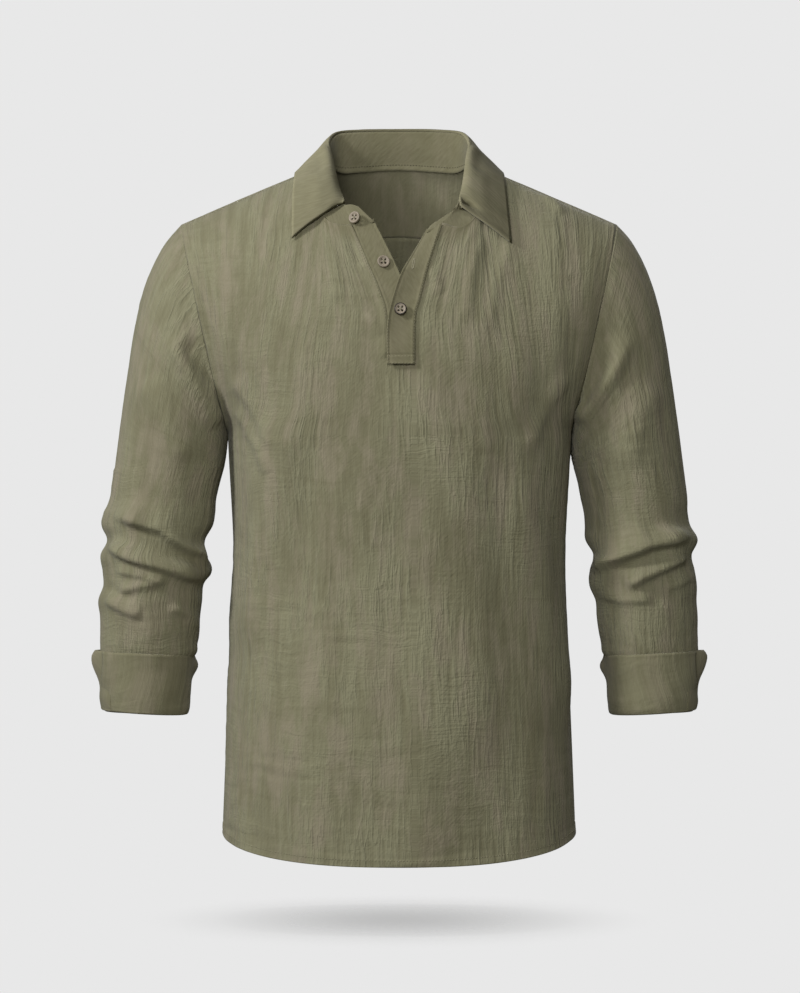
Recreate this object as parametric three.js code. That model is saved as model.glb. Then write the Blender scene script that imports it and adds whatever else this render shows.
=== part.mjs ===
// A pullover shirt in crinkled cotton with a collar and a half placket, worn and hollow.
// Millimetres, +Z up. The origin is the middle of the neck base, and the front faces -Y.
// Every piece of cloth is a thin wall on one body surface, cut where a maker would cut it.
import * as THREE from 'three';

// Driving dimensions
const WALL = 1.5;
const SEAM = 0.3;
const DEG = Math.PI / 180;
const ROUNDNESS = 2.4;

// Trunk stations: height, half width, front depth, back depth
const TRUNK = [
  [-715, 185, 127, 124],
  [-540, 178, 122, 118],
  [-400, 172, 118, 108],
  [-262, 178, 125, 116],
  [-140, 179, 125, 118],
  [60, 180, 125, 118],
];
const HEM = { side: -673, frontDrop: 27, backDrop: 34 };
const CROWN = { front: 280, back: 240 };
const RIDGE = { top: 54.5, slope: 0.44, round: 40 };
const ARMHOLE = { topX: 226, topZ: -46.5, footX: 178, footZ: -262, front: 64, back: 70 };
const SHOULDER_SEAM = -8 * DEG;
// Yoke seam: height in the middle and at the armholes, curve, and crowding towards the armholes
const YOKE = { middle: -52, ends: -100, curve: 1.6, crowding: 67.5 * DEG };
// Gap at the shoulder seam, as an angle over the shoulder
const SHOULDER_GAP = 0.22 * DEG;

// Neckline: distance from the middle, angle over the shoulder (back +, front -), from the
// middle of the back to the front end on each side
const NECK_BACK = [[0, 23.5], [40, 20.5], [66, 14], [77, 0]];
const NECK_FRONT = {
  left: [[84, -24], [79, -37], [62, -43], [48, -44.5]],
  right: [[84, -24], [80, -36.5], [64, -43.5], [44, -44.5]],
};

// Placket: heights and the lines of its seams and free edges as [height, x]
const SLIT_FOOT = -188;
const PLACKET_FOOT = -197;
const UNDER_SEAM = [[-188, -12], [-142, -13], [-115, -22], [-97, -30], [-53, -48]];
const UNDER_EDGE = [[-188, 13], [-142, 13], [-105, 1], [-50, -25]];
const OVER_SEAM = [[-197, 16], [-147, 17], [-132, 21], [-93, 31], [-50, 44]];
const OVER_EDGE = [[-197, -12], [-155, -12], [-121, -3], [-103, 5], [-84, 17], [-60, 31]];
const UNDER_WIDTH = 26;
const OVER_WIDTH = 29;
// Tops of the two bands as [seam height, edge height], and how far each stands off the body
const UNDER_TOP = [-58, -54];
const OVER_TOP = [-56, -64];
const UNDER_LIFT = -0.8;
const OVER_LIFT = 2;
const BAND_SWELL = 0.8;

// Roll line at the top of the stand, x, y, z
const ROLL_BACK = [[0, 46, 55.5], [40, 43, 54.5], [65, 34, 51], [73.5, 8, 37]];
const ROLL_FRONT = {
  left: [[-71, -18, 19], [-67, -40, 0], [-62, -57, -18], [-56, -71, -32]],
  right: [[72, -18, 19], [69, -40, -1], [65, -58, -20], [60, -73, -35]],
};
// Free edge of the leaf as (x, angle over the shoulder), and how far it stands off the body
const LEAF_BACK = [[0, 28], [45, 25.5], [84, 17], [105, 1]];
const LEAF_FRONT = {
  left: [[107, -14], [108, -25], [108, -34], [108, -42.1]],
  right: [[108, -14], [109.5, -25], [111.5, -35], [113.5, -42.9]],
};
const LEAF_LIFT = 3.6;
const LEAF_SWELL = { back: 5.6, more: 8 };
// The leaf's fold over the stand: steps out from the stand's face and up from its top
const FOLD = [[-2.3, 0.9], [-1.9, 3], [0.6, 4.4], [3.8, 2.4]];
// Which way the outside of its first steps faces: out from the stand and up
const FOLD_FACING = [[-1, 0], [0, 1], [0.35, 1]];
const STAND_WALL = 2.4;
const LEAF_WALL = 1.6;
const STAND_GAP = 1;

// Sleeve: outer line from the shoulder tip, then stations down the arm:
// height, inner x, outer x, front depth, back depth, middle y
const SLEEVE_CAP = [
  [226, -46.5], [240, -62], [257, -92], [269, -126], [276.5, -160], [283.5, -205], [290, -252],
  [296, -300],
];
const SLEEVE_FOOT_IN = 182;
const SLEEVE_SLACK = 1.2;
const SLEEVE_END = [
  [-491, 216.8, 305.2, 44.2, 44.2, -10],
  [-498, 218.5, 303.5, 43.5, 43.5, -10],
  [-551, 222.5, 304.5, 42, 42, -10],
];
const SLEEVE = {
  left: [
    [-300, 182, 296, 60, 60, 0],
    [-328, 189.5, 301, 58, 58, 0],
    [-352, 193.5, 309, 58, 56, -1],
    [-376, 201, 303, 54, 55, -2],
    [-394, 197.5, 310, 57, 54, -3],
    [-412, 199, 307, 55, 54, -5],
    [-434, 206.5, 312, 53, 53, -6],
    [-460, 208, 310, 51, 51, -8],
    [-482, 210, 310, 50, 50, -9],
    [-488, 212.5, 308, 48, 48, -9.5],
    ...SLEEVE_END,
  ],
  right: [
    [-300, 182, 295, 60, 60, 0],
    [-330, 187, 296, 58, 58, 0],
    [-356, 190, 298, 56, 57, -1],
    [-376, 194, 307, 57, 55, -2],
    [-392, 202, 301.5, 54, 54, -3],
    [-411, 195.5, 304, 56, 54, -5],
    [-436, 204, 306, 53, 53, -6],
    [-460, 207, 306.5, 51, 51, -8],
    [-482, 210, 307, 50, 50, -9],
    [-488, 212.5, 306.5, 48, 48, -9.5],
    ...SLEEVE_END,
  ],
};
// Diagonal folds at the bend of the arm: height in front, rise towards the outside, height of
// the fold, half width
const ARM_FOLDS = {
  left: [[-388, 26, 5, 11], [-408, 14, 3.5, 9], [-250, -40, 3.5, 16]],
  right: [[-392, 30, 5, 11], [-414, 14, 3.5, 9], [-235, -45, 4, 16]],
};

// Turned-back cuff
const CUFF = { top: -492, foot: -555.8, inTop: 213.5, inFoot: 218, outTop: 309.5, outFoot: 309 };
const CUFF_DEPTH = 46.5;
const CUFF_Y = -10;
const VENT = { foot: -535, flare: 9, back: 2, halfAngle: 1.6 * DEG };
// Section of the cuff from its inner lip, round the fold, to the foot of the vent: offset, z
const CUFF_FOLD = [
  [-5.6, -551.3], [-5.6, -553.4], [-4.4, -555.4], [-2.6, -555.8], [-0.8, -555.2], [0, -552.6],
];

const BUTTON = { radius: 6.3, thick: 2.6, hole: 0.9, spacing: 1.35 };

// Cells of each wall; neck counts those of the neckline on each half panel
const CELLS = {
  half: 11, neck: 5, slit: 2, trunk: 10, armRow: 4, chest: 7, yoke: 6, back: 6, under: 9,
  over: 10, stand: 3, round: 16, cap: 7,
};
// Share of the crown below which directions are taken down the trunk, not over the shoulder
const CROWN_TOP = 0.3;

const clamp = (v, low, high) => Math.min(high, Math.max(low, v));
const lerp = (a, b, t) => a + (b - a) * t;
const vec = (x, y, z) => new THREE.Vector3(x, y, z);
const steps = (n) => Array.from({ length: n + 1 }, (_, i) => i / n);

// Smooth curve through rows [key, value, value...], read at a key; rows rise in key
function stations(rows) {
  const ordered = [...rows].sort((a, b) => a[0] - b[0]);
  const slope = (i, c) => {
    const low = ordered[Math.max(0, i - 1)];
    const high = ordered[Math.min(ordered.length - 1, i + 1)];
    return (high[c] - low[c]) / (high[0] - low[0]);
  };
  return (key, column = 1) => {
    const k = clamp(key, ordered[0][0], ordered[ordered.length - 1][0]);
    let i = 0;
    while (i < ordered.length - 2 && k > ordered[i + 1][0]) i += 1;
    const [a, b] = [ordered[i], ordered[i + 1]];
    const span = b[0] - a[0];
    const t = (k - a[0]) / span;
    const [t2, t3] = [t * t, t * t * t];
    return (2 * t3 - 3 * t2 + 1) * a[column] + (t3 - 2 * t2 + t) * span * slope(i, column)
      + (3 * t2 - 2 * t3) * b[column] + (t3 - t2) * span * slope(i + 1, column);
  };
}

const trunk = stations(TRUNK);
const depth = (z, back) => trunk(z, back ? 3 : 2);
const crownHeight = (back) => (back ? CROWN.back : CROWN.front);
const ridge = (x) => RIDGE.top - RIDGE.slope * Math.hypot(x, RIDGE.round);

// How full the body is at a drop below the shoulder ridge, 0 at the ridge and 1 at the chest
function crown(drop, back) {
  const rest = 1 - clamp(drop / crownHeight(back), 0, 1);
  return Math.sqrt(Math.max(0, 1 - rest * rest));
}

// The armhole is a flat, tilted oval
const armholeX = (z) => lerp(ARMHOLE.topX, ARMHOLE.footX,
  (ARMHOLE.topZ - z) / (ARMHOLE.topZ - ARMHOLE.footZ));
const armholeMid = vec((ARMHOLE.topX + ARMHOLE.footX) / 2, 0, (ARMHOLE.topZ + ARMHOLE.footZ) / 2);
const armholeHalf = (ARMHOLE.topZ - ARMHOLE.footZ) / 2;
const armholeHeight = (turn) => armholeMid.z - armholeHalf * Math.cos(turn);

// Half width that the trunk's oval would have at a height, so that it meets the armhole
function virtualWidth(z, back) {
  if (z <= ARMHOLE.footZ) return trunk(z, 1);
  const height = Math.min(z, ARMHOLE.topZ - 0.05);
  const x = armholeX(height);
  const rise = (height - armholeMid.z) / armholeHalf;
  const reach = (back ? ARMHOLE.back : ARMHOLE.front) * Math.sqrt(Math.max(0, 1 - rise * rise));
  const ratio = clamp(reach / (depth(height, back) * crown(ridge(x) - height, back)), 0, 0.96);
  return x / (1 - ratio ** ROUNDNESS) ** (1 / ROUNDNESS);
}

const lateral = (x, width) => Math.max(0, 1 - Math.abs(x / width) ** ROUNDNESS) ** (1 / ROUNDNESS);

// Point of the body surface at a place across and a height
function bodyAt(x, z, back) {
  const width = virtualWidth(z, back);
  const y = depth(z, back) * crown(ridge(x) - z, back) * lateral(x, width);
  return vec(x, back ? y : -y, z);
}

// Point at an angle round the trunk, 0 at the middle of the front and 90 at the side
function trunkAt(theta, z) {
  const [s, c] = [Math.sin(theta), Math.cos(theta)];
  const back = c < 0;
  const width = virtualWidth(z, back);
  const x = width * Math.sign(s) * Math.abs(s) ** (2 / ROUNDNESS);
  const y = depth(z, back) * crown(ridge(x) - z, back) * Math.abs(c) ** (2 / ROUNDNESS);
  return vec(x, back ? y : -y, z);
}

// Point at an angle over the shoulder, negative in front
function shoulderAt(x, omega) {
  const back = omega > 0;
  const z = ridge(x) - crownHeight(back) * (1 - Math.cos(omega));
  const width = virtualWidth(z, back);
  return vec(x, depth(z, back) * Math.sin(omega) * lateral(x, width), z);
}

const overAngle = (x, z, back) =>
  Math.acos(clamp(1 - (ridge(x) - z) / crownHeight(back), -1, 1)) * (back ? 1 : -1);

// Outward direction of the body surface at one of its points
function bodyNormal(p, back) {
  const drop = ridge(p.x) - p.z;
  let across;
  let along;
  if (drop < CROWN_TOP * crownHeight(back)) {
    const omega = overAngle(p.x, p.z, back);
    const h = 0.5 * DEG;
    across = shoulderAt(p.x + 0.4, omega).sub(shoulderAt(p.x - 0.4, omega));
    along = shoulderAt(p.x, omega + h).sub(shoulderAt(p.x, omega - h));
  } else {
    const width = virtualWidth(p.z, back);
    const s = clamp(Math.abs(p.x) / width, 0, 1) ** (ROUNDNESS / 2);
    const front = Math.asin(clamp(s, 0, 1));
    const theta = Math.sign(p.x || 1) * (back ? Math.PI - front : front);
    const h = 1 * DEG;
    across = trunkAt(theta + h, p.z).sub(trunkAt(theta - h, p.z));
    along = trunkAt(theta, p.z + 0.5).sub(trunkAt(theta, p.z - 0.5));
  }
  const normal = across.cross(along).normalize();
  const out = vec(p.x, back ? 60 : -60, 40);
  return normal.dot(out) < 0 ? normal.negate() : normal;
}

const onBody = (p, back, lift = 0) => {
  const n = bodyNormal(p, back);
  return { p: p.clone().addScaledVector(n, lift), n };
};

// Angle of the trunk's side at a height: the side seam, or the armhole above it
function sideAngle(z, back) {
  if (z <= ARMHOLE.footZ) return 90 * DEG - SEAM / 2 / trunk(z, 1);
  const s = (armholeX(z) / virtualWidth(z, back)) ** (ROUNDNESS / 2);
  return Math.asin(clamp(s, 0, 1));
}

// Point of the armhole at an angle over the shoulder
function armholeAt(omega) {
  const back = omega > 0;
  let x = ARMHOLE.topX;
  let z = ARMHOLE.topZ;
  for (let i = 0; i < 8; i += 1) {
    z = ridge(x) - crownHeight(back) * (1 - Math.cos(omega));
    x = armholeX(z);
  }
  return [x, z];
}

// A closed wall from rows of outer points and outward directions. A cell can be left out.
function wallOf(rows, { closed = false, wall = WALL, missing = () => false } = {}) {
  const high = rows.length;
  const wide = rows[0].length;
  const cols = closed ? wide : wide - 1;
  const present = (i, j) => {
    if (j < 0 || j >= high - 1) return false;
    if (!closed && (i < 0 || i >= cols)) return false;
    return !missing((i + cols) % cols, j);
  };
  const outer = (i, j) => 2 * (j * wide + (i % wide));
  const inner = (i, j) => outer(i, j) + 1;
  const positions = [];
  rows.forEach((row) => row.forEach(({ p, n }) => {
    positions.push(p.x, p.y, p.z);
    positions.push(p.x - wall * n.x, p.y - wall * n.y, p.z - wall * n.z);
  }));
  const index = [];
  const quad = (a, b, c, d) => index.push(a, b, c, a, c, d);
  for (let j = 0; j < high - 1; j += 1) {
    for (let i = 0; i < cols; i += 1) {
      if (!present(i, j)) continue;
      const [a, b, c, d] = [[i, j], [i + 1, j], [i + 1, j + 1], [i, j + 1]];
      quad(outer(...a), outer(...b), outer(...c), outer(...d));
      quad(inner(...d), inner(...c), inner(...b), inner(...a));
      if (!present(i, j - 1)) quad(outer(...b), outer(...a), inner(...a), inner(...b));
      if (!present(i + 1, j)) quad(outer(...c), outer(...b), inner(...b), inner(...c));
      if (!present(i, j + 1)) quad(outer(...d), outer(...c), inner(...c), inner(...d));
      if (!present(i - 1, j)) quad(outer(...a), outer(...d), inner(...d), inner(...a));
    }
  }
  return solid(positions, index);
}

// Geometry with its faces pointing out, whichever way round its grid was laid
function solid(positions, index) {
  const at = (k) => vec(positions[3 * k], positions[3 * k + 1], positions[3 * k + 2]);
  let volume = 0;
  for (let k = 0; k < index.length; k += 3) {
    volume += at(index[k]).dot(at(index[k + 1]).cross(at(index[k + 2])));
  }
  const turned = volume < 0 ? [...index].reverse() : index;
  const geometry = new THREE.BufferGeometry();
  geometry.setAttribute('position', new THREE.Float32BufferAttribute(positions, 3));
  geometry.setIndex(turned);
  const used = geometry.toNonIndexed();
  used.computeVertexNormals();
  return used;
}

// Patch between four boundary curves of [a, b] pairs
function patch(bottom, top, left, right, u, v) {
  const mix = (k) => (1 - v) * bottom(u)[k] + v * top(u)[k] + (1 - u) * left(v)[k] + u * right(v)[k]
    - (1 - u) * (1 - v) * bottom(0)[k] - u * (1 - v) * bottom(1)[k]
    - (1 - u) * v * top(0)[k] - u * v * top(1)[k];
  return [mix(0), mix(1)];
}

// Line round the neck as (x, angle over the shoulder): 0 at the middle of the back, 1 at the
// front end
function overShoulder(backPoints, frontPoints, side) {
  const points = [...backPoints, ...frontPoints].map(([x, a]) => vec(x, a, 0));
  const mirrored = [vec(-points[1].x, points[1].y, 0), ...points];
  const curve = new THREE.CatmullRomCurve3(mirrored, false, 'centripetal');
  const first = 1 / (mirrored.length - 1);
  const sign = side === 'left' ? -1 : 1;
  return (t) => {
    const p = curve.getPoint(lerp(first, 1, t));
    return [sign * p.x, p.y * DEG];
  };
}
const NECK = {
  left: overShoulder(NECK_BACK, NECK_FRONT.left, 'left'),
  right: overShoulder(NECK_BACK, NECK_FRONT.right, 'right'),
};

// Place along the neckline where the shoulder seam meets it
function seamPlace(side) {
  let [low, high] = [0, 1];
  for (let i = 0; i < 40; i += 1) {
    const mid = (low + high) / 2;
    if (NECK[side](mid)[1] > SHOULDER_SEAM) low = mid;
    else high = mid;
  }
  return low;
}
const SEAM_PLACE = { left: seamPlace('left'), right: seamPlace('right') };
const sign = { left: -1, right: 1 };
// Shares of a panel's top that the neckline and the yoke's shoulder seam take
const NECK_SHARE = CELLS.neck / CELLS.half;
const YOKE_SEAM_SHARE = (CELLS.half - CELLS.neck) / (2 * CELLS.half);

// Front: trunk rows, rows beside the foot of the armhole, then the two halves of the chest
function front() {
  const n = CELLS.half;
  const slit = { left: stations(UNDER_SEAM), right: stations(OVER_SEAM) };
  const slitAngle = (side, z) => {
    const x = Math.abs(slit[side](Math.max(z, SLIT_FOOT)));
    return Math.asin((x / virtualWidth(z, false)) ** (ROUNDNESS / 2));
  };
  const lowRow = (height) => {
    const at = (side, u) => {
      const guess = lerp(slitAngle(side, height(0)), 90 * DEG, u);
      const z = height(guess);
      const theta = lerp(slitAngle(side, z), sideAngle(z, false), u);
      return onBody(trunkAt(sign[side] * theta, z), false);
    };
    const left = steps(n).map((u) => at('left', 1 - u));
    const right = steps(n).map((u) => at('right', u));
    const [a, b] = [left[n].p, right[0].p];
    const middle = steps(CELLS.slit).slice(1, -1)
      .map((u) => onBody(bodyAt(lerp(a.x, b.x, u), lerp(a.z, b.z, u), false), false));
    return [...left, ...middle, ...right];
  };
  const rows = [];
  for (const v of steps(CELLS.trunk)) {
    const hem = (theta) => HEM.side - HEM.frontDrop * Math.cos(theta);
    rows.push(lowRow((theta) => lerp(hem(theta), ARMHOLE.footZ, v)));
  }
  const turnAtSlit = Math.acos((armholeMid.z - SLIT_FOOT) / armholeHalf);
  for (const v of steps(CELLS.armRow).slice(1)) {
    rows.push(lowRow(() => armholeHeight(v * turnAtSlit)));
  }

  const turnAtSeam = Math.acos((armholeMid.z - armholeAt(SHOULDER_SEAM)[1]) / armholeHalf);
  const chest = (side, u, v) => {
    const s = sign[side];
    const foot = (k) => {
      const theta = lerp(slitAngle(side, SLIT_FOOT), sideAngle(SLIT_FOOT, false), k);
      return [trunkAt(s * theta, SLIT_FOOT).x, SLIT_FOOT];
    };
    const top = (k) => {
      if (k < NECK_SHARE + 1e-6) {
        const [x, omega] = NECK[side](lerp(1, SEAM_PLACE[side], k / NECK_SHARE));
        return [x, shoulderAt(x, omega).z];
      }
      const t = (k - NECK_SHARE) / (1 - NECK_SHARE);
      const x = s * lerp(Math.abs(NECK[side](SEAM_PLACE[side])[0]), armholeAt(SHOULDER_SEAM)[0], t);
      return [x, shoulderAt(x, SHOULDER_SEAM).z];
    };
    const inside = (k) => {
      const z = lerp(SLIT_FOOT, top(0)[1], k);
      return k === 1 ? top(0) : [slit[side](z), z];
    };
    const outside = (k) => {
      const z = armholeHeight(lerp(turnAtSlit, turnAtSeam, k));
      return [s * armholeX(z), z];
    };
    const [x, z] = patch(foot, top, inside, outside, u, v);
    return onBody(bodyAt(x, z, false), false);
  };
  for (const v of steps(CELLS.chest).slice(1)) {
    const left = steps(n).map((u) => chest('left', 1 - u, v));
    const right = steps(n).map((u) => chest('right', u, v));
    const middle = Array.from({ length: CELLS.slit - 1 }, () => left[n]);
    rows.push([...left, ...middle, ...right]);
  }
  const firstSlitRow = CELLS.trunk + CELLS.armRow;
  return wallOf(rows, { missing: (i, j) => j >= firstSlitRow && i >= n && i < n + CELLS.slit });
}

const yokeSeam = (x) =>
  lerp(YOKE.middle, YOKE.ends, Math.min(1, Math.abs(x) / armholeX(YOKE.ends)) ** YOKE.curve);

// Place across the back at a share of its width, closer together at the sides
function acrossBack(u, z) {
  const theta = Math.PI - lerp(-1, 1, u) * sideAngle(z, true);
  return trunkAt(theta, z).x;
}

// Back: trunk rows, then rows up to the yoke seam
function back() {
  const n = 2 * CELLS.half;
  const rows = [];
  const hem = (theta) => HEM.side + HEM.backDrop * Math.cos(theta);
  for (const v of steps(CELLS.trunk)) {
    rows.push(steps(n).map((u) => {
      const guess = Math.PI - lerp(-1, 1, u) * 90 * DEG;
      const z = lerp(hem(guess), ARMHOLE.footZ, v);
      const theta = Math.PI - lerp(-1, 1, u) * sideAngle(z, true);
      return onBody(trunkAt(theta, z), true);
    }));
  }
  const turnAtYoke = Math.acos((armholeMid.z - YOKE.ends) / armholeHalf);
  const foot = (u) => [acrossBack(u, ARMHOLE.footZ), ARMHOLE.footZ];
  const top = (u) => yokeEdge(u, -SEAM);
  const side = (s) => (v) => {
    const z = armholeHeight(v * turnAtYoke) - (v > 0.999 ? SEAM : 0);
    return [s * armholeX(z), z];
  };
  for (const v of steps(CELLS.back).slice(1)) {
    rows.push(steps(n).map((u) => {
      const [x, z] = patch(foot, top, side(-1), side(1), u, v);
      return onBody(bodyAt(x, z, true), true);
    }));
  }
  return wallOf(rows);
}

// A place on the yoke seam, at a share of the width
function yokeEdge(u, drop) {
  const half = armholeX(YOKE.ends + drop);
  const across = Math.sin(lerp(-1, 1, u) * YOKE.crowding) / Math.sin(YOKE.crowding);
  const x = half * lerp(lerp(-1, 1, u), across, 0.5);
  return [x, yokeSeam(x) + drop];
}

// Yoke: from the two shoulder seams and the back neckline down to the yoke seam
function yoke() {
  const n = 2 * CELLS.half;
  const start = SHOULDER_SEAM + SHOULDER_GAP;
  const top = (u) => {
    const side = u < 0.5 ? 'left' : 'right';
    const k = u < 0.5 ? u : 1 - u;
    if (k < YOKE_SEAM_SHARE) {
      const neckX = Math.abs(NECK[side](SEAM_PLACE[side])[0]);
      return [sign[side] * lerp(armholeAt(start)[0], neckX, k / YOKE_SEAM_SHARE), start];
    }
    const place = lerp(SEAM_PLACE[side], 0, (k - YOKE_SEAM_SHARE) / (0.5 - YOKE_SEAM_SHARE));
    const [x, omega] = NECK[side](place);
    return [x, Math.max(omega, start)];
  };
  const bottom = (u) => {
    const [x, z] = yokeEdge(u, 0);
    return [x, overAngle(x, z, true)];
  };
  const endAngle = bottom(0)[1];
  const side = (s) => (v) => {
    const omega = lerp(endAngle, start, v);
    return [s * armholeAt(omega)[0], omega];
  };
  const rows = steps(CELLS.yoke).map((v) => steps(n).map((u) => {
    const [x, omega] = patch(bottom, top, side(-1), side(1), u, v);
    return onBody(shoulderAt(x, omega), omega > 0);
  }));
  return wallOf(rows);
}

// A placket band from its seam to its free edge; the edge turns in where it narrows
function placketBand(seamLine, edgeLine, width, heights, lift, gapSide) {
  const seamAt = stations(seamLine);
  const edgeAt = stations(edgeLine);
  const rows = heights.map(([seamZ, edgeZ]) => {
    const seamX = seamAt(seamZ) - gapSide * SEAM;
    const a = onBody(bodyAt(seamX, seamZ, false), false, lift);
    const x = edgeAt(edgeZ);
    const reach = Math.min(width, Math.abs(x - seamX));
    const turn = Math.sqrt(width * width - reach * reach) * 0.8;
    const edge = onBody(bodyAt(x, edgeZ, false), false, lift);
    edge.p.y += turn > width * 0.35 ? turn - width * 0.35 : 0;
    const across = edge.p.clone().sub(a.p);
    const up = bodyAt(seamX, seamZ + 1, false).sub(bodyAt(seamX, seamZ - 1, false));
    const n = across.cross(up).normalize();
    if (n.y > 0) n.negate();
    const middle = a.p.clone().lerp(edge.p, 0.5).addScaledVector(n, BAND_SWELL);
    return [{ p: a.p, n: a.n }, { p: middle, n }, { p: edge.p, n }];
  });
  return wallOf(rows);
}

// Seam and edge heights of a band's rows, from its foot to its top
const bandHeights = (count, foot, [seamTop, edgeTop]) =>
  steps(count).map((v) => [lerp(foot, seamTop, v), lerp(foot, edgeTop, v)]);

const underPlacket = () => placketBand(UNDER_SEAM, UNDER_EDGE, UNDER_WIDTH,
  bandHeights(CELLS.under, SLIT_FOOT + SEAM, UNDER_TOP), UNDER_LIFT, -1);

const overPlacket = () => placketBand(OVER_SEAM, OVER_EDGE, OVER_WIDTH,
  bandHeights(CELLS.over, PLACKET_FOOT, OVER_TOP), OVER_LIFT, 1);

// A curve through the back points and one side's front points, from the middle of the back
function halfCurve(backPoints, frontPoints, side) {
  const s = sign[side];
  const points = [[-backPoints[1][0], backPoints[1][1], backPoints[1][2]], ...backPoints]
    .map(([x, y, z]) => vec(s * x, y, z))
    .concat(frontPoints.map(([x, y, z]) => vec(x, y, z)));
  const curve = new THREE.CatmullRomCurve3(points, false, 'centripetal');
  const first = 1 / (points.length - 1);
  return (t) => curve.getPoint(lerp(first, 1, t));
}
const roll = {
  left: halfCurve(ROLL_BACK, ROLL_FRONT.left, 'left'),
  right: halfCurve(ROLL_BACK, ROLL_FRONT.right, 'right'),
};
const leafLine = {
  left: overShoulder(LEAF_BACK, LEAF_FRONT.left, 'left'),
  right: overShoulder(LEAF_BACK, LEAF_FRONT.right, 'right'),
};
const leafEdge = (side, t) => {
  const [x, omega] = leafLine[side](t);
  return onBody(shoulderAt(x, omega), omega > 0, LEAF_LIFT).p;
};

// Front tabs of the stand beyond the leaf: foot and top of each step
const TABS = {
  left: [
    [[-38, -87.5, -52], [-43, -80, -33]],
    [[-28, -90, -48.5], [-31, -83, -39]],
  ],
  right: [
    [[37, -90, -56], [48, -80, -41]],
    [[32, -90.5, -59], [37, -84, -50]],
  ],
};

// Columns round the collar from the left front end to the right front end, at the places
// where the panels below have their corners
function collarColumns() {
  const places = (side) => [
    ...steps(CELLS.neck).map((v) => lerp(0, SEAM_PLACE[side], v)),
    ...steps(CELLS.neck).slice(1).map((v) => lerp(SEAM_PLACE[side], 1, v)),
  ];
  const column = (side) => places(side).map((t) => [side, t]);
  return [...column('left').slice(1).reverse(), ...column('right')];
}

const neighbour = (list, i, step) => list[clamp(i + step, 0, list.length - 1)];

// Rows of the stand from the neckline to the roll line, with the two tabs
function standRows() {
  const pairs = collarColumns().map(([side, t]) => {
    const [x, omega] = NECK[side](t);
    return [shoulderAt(x, omega), roll[side](t)];
  });
  const feet = pairs.map(([foot]) => foot.clone());
  pairs.forEach(([foot, top], i) => {
    const along = neighbour(feet, i, 1).clone().sub(neighbour(feet, i, -1));
    const inward = bodyNormal(foot, foot.y > 0).cross(along).normalize();
    foot.addScaledVector(inward, Math.sign(inward.dot(top.clone().sub(foot))) * STAND_GAP);
  });
  const tab = (side) => TABS[side].map(([a, b]) => [vec(...a), vec(...b)]);
  const all = [...tab('left').reverse(), ...pairs, ...tab('right')];
  const grid = steps(CELLS.stand).map((v) => all.map(([foot, top]) => foot.clone().lerp(top, v)));
  return withNormals(grid, (p) => vec(p.x, p.y - 5, 12));
}

// Stand: rises from the neckline to the roll line and ends in two tabs
const collarStand = () => wallOf(standRows(), { wall: STAND_WALL });

// Directions across a grid of points, pointing to the side that a guide gives
function withNormals(grid, guide) {
  const high = grid.length;
  const wide = grid[0].length;
  return grid.map((row, j) => row.map((p, i) => {
    const a = grid[j][Math.min(wide - 1, i + 1)].clone().sub(grid[j][Math.max(0, i - 1)]);
    const b = grid[Math.min(high - 1, j + 1)][i].clone().sub(grid[Math.max(0, j - 1)][i]);
    const n = a.cross(b).normalize();
    return { p, n: n.dot(guide(p)) < 0 ? n.negate() : n };
  }));
}

// A point moved forward or back until it stands off the body surface
function clearOfBody(p, lift) {
  const back = p.y > 0;
  const surface = bodyAt(p.x, p.z, back);
  const n = bodyNormal(surface, back);
  const need = lift / Math.max(0.5, Math.abs(n.y));
  const reach = surface.y + (back ? need : -need);
  if (ridge(p.x) > p.z && (back ? p.y < reach : p.y > reach)) p.y = reach;
  return p;
}

// Leaf: over the top of the stand, then down and out to its free edge
function collarLeaf() {
  const stand = standRows();
  const tabSteps = TABS.left.length;
  const columns = collarColumns().map(([side, t], i) => {
    const topRow = stand[stand.length - 1];
    const { p: top, n: out } = topRow[i + tabSteps];
    const along = topRow[i + tabSteps + 1].p.clone().sub(topRow[i + tabSteps - 1].p);
    const up = out.clone().cross(along).normalize();
    if (up.dot(top.clone().sub(stand[0][i + tabSteps].p)) < 0) up.negate();
    const edge = leafEdge(side, t);
    const over = FOLD.map(([m, k]) => top.clone().addScaledVector(out, m).addScaledVector(up, k));
    const start = over[over.length - 1];
    const swell = vec(out.x, out.y - 0.6 * t, 0.6);
    const down = [0.34, 0.67, 1].map((w) => clearOfBody(start.clone().lerp(edge, w)
      .addScaledVector(swell, w * (1 - w) * (LEAF_SWELL.back + LEAF_SWELL.more * t)), LEAF_LIFT));
    return { points: [...over, ...down], out };
  });
  const grid = columns[0].points.map((_, j) => columns.map((c) => c.points[j]));
  const rows = withNormals(grid, (p) => vec(p.x, p.y, 30));
  FOLD_FACING.forEach(([outward, upward], j) => rows[j].forEach((cell, i) => {
    const facing = columns[i].out.clone().multiplyScalar(outward).add(vec(0, 0, upward));
    if (cell.n.dot(facing) < 0) cell.n.negate();
  }));
  return wallOf(rows, { wall: LEAF_WALL });
}

// Sleeve ring between an outer and an inner point, front and back depth, middle y
function ring(outerPoint, innerPoint, frontDepth, backDepth, y) {
  const mid = outerPoint.clone().add(innerPoint).multiplyScalar(0.5);
  const half = outerPoint.clone().sub(innerPoint).multiplyScalar(0.5);
  return (phi) => {
    const side = Math.sin(phi);
    const reach = side < 0 ? frontDepth : backDepth;
    return mid.clone().addScaledVector(half, Math.cos(phi)).add(vec(0, y + reach * side, 0));
  };
}

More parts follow.
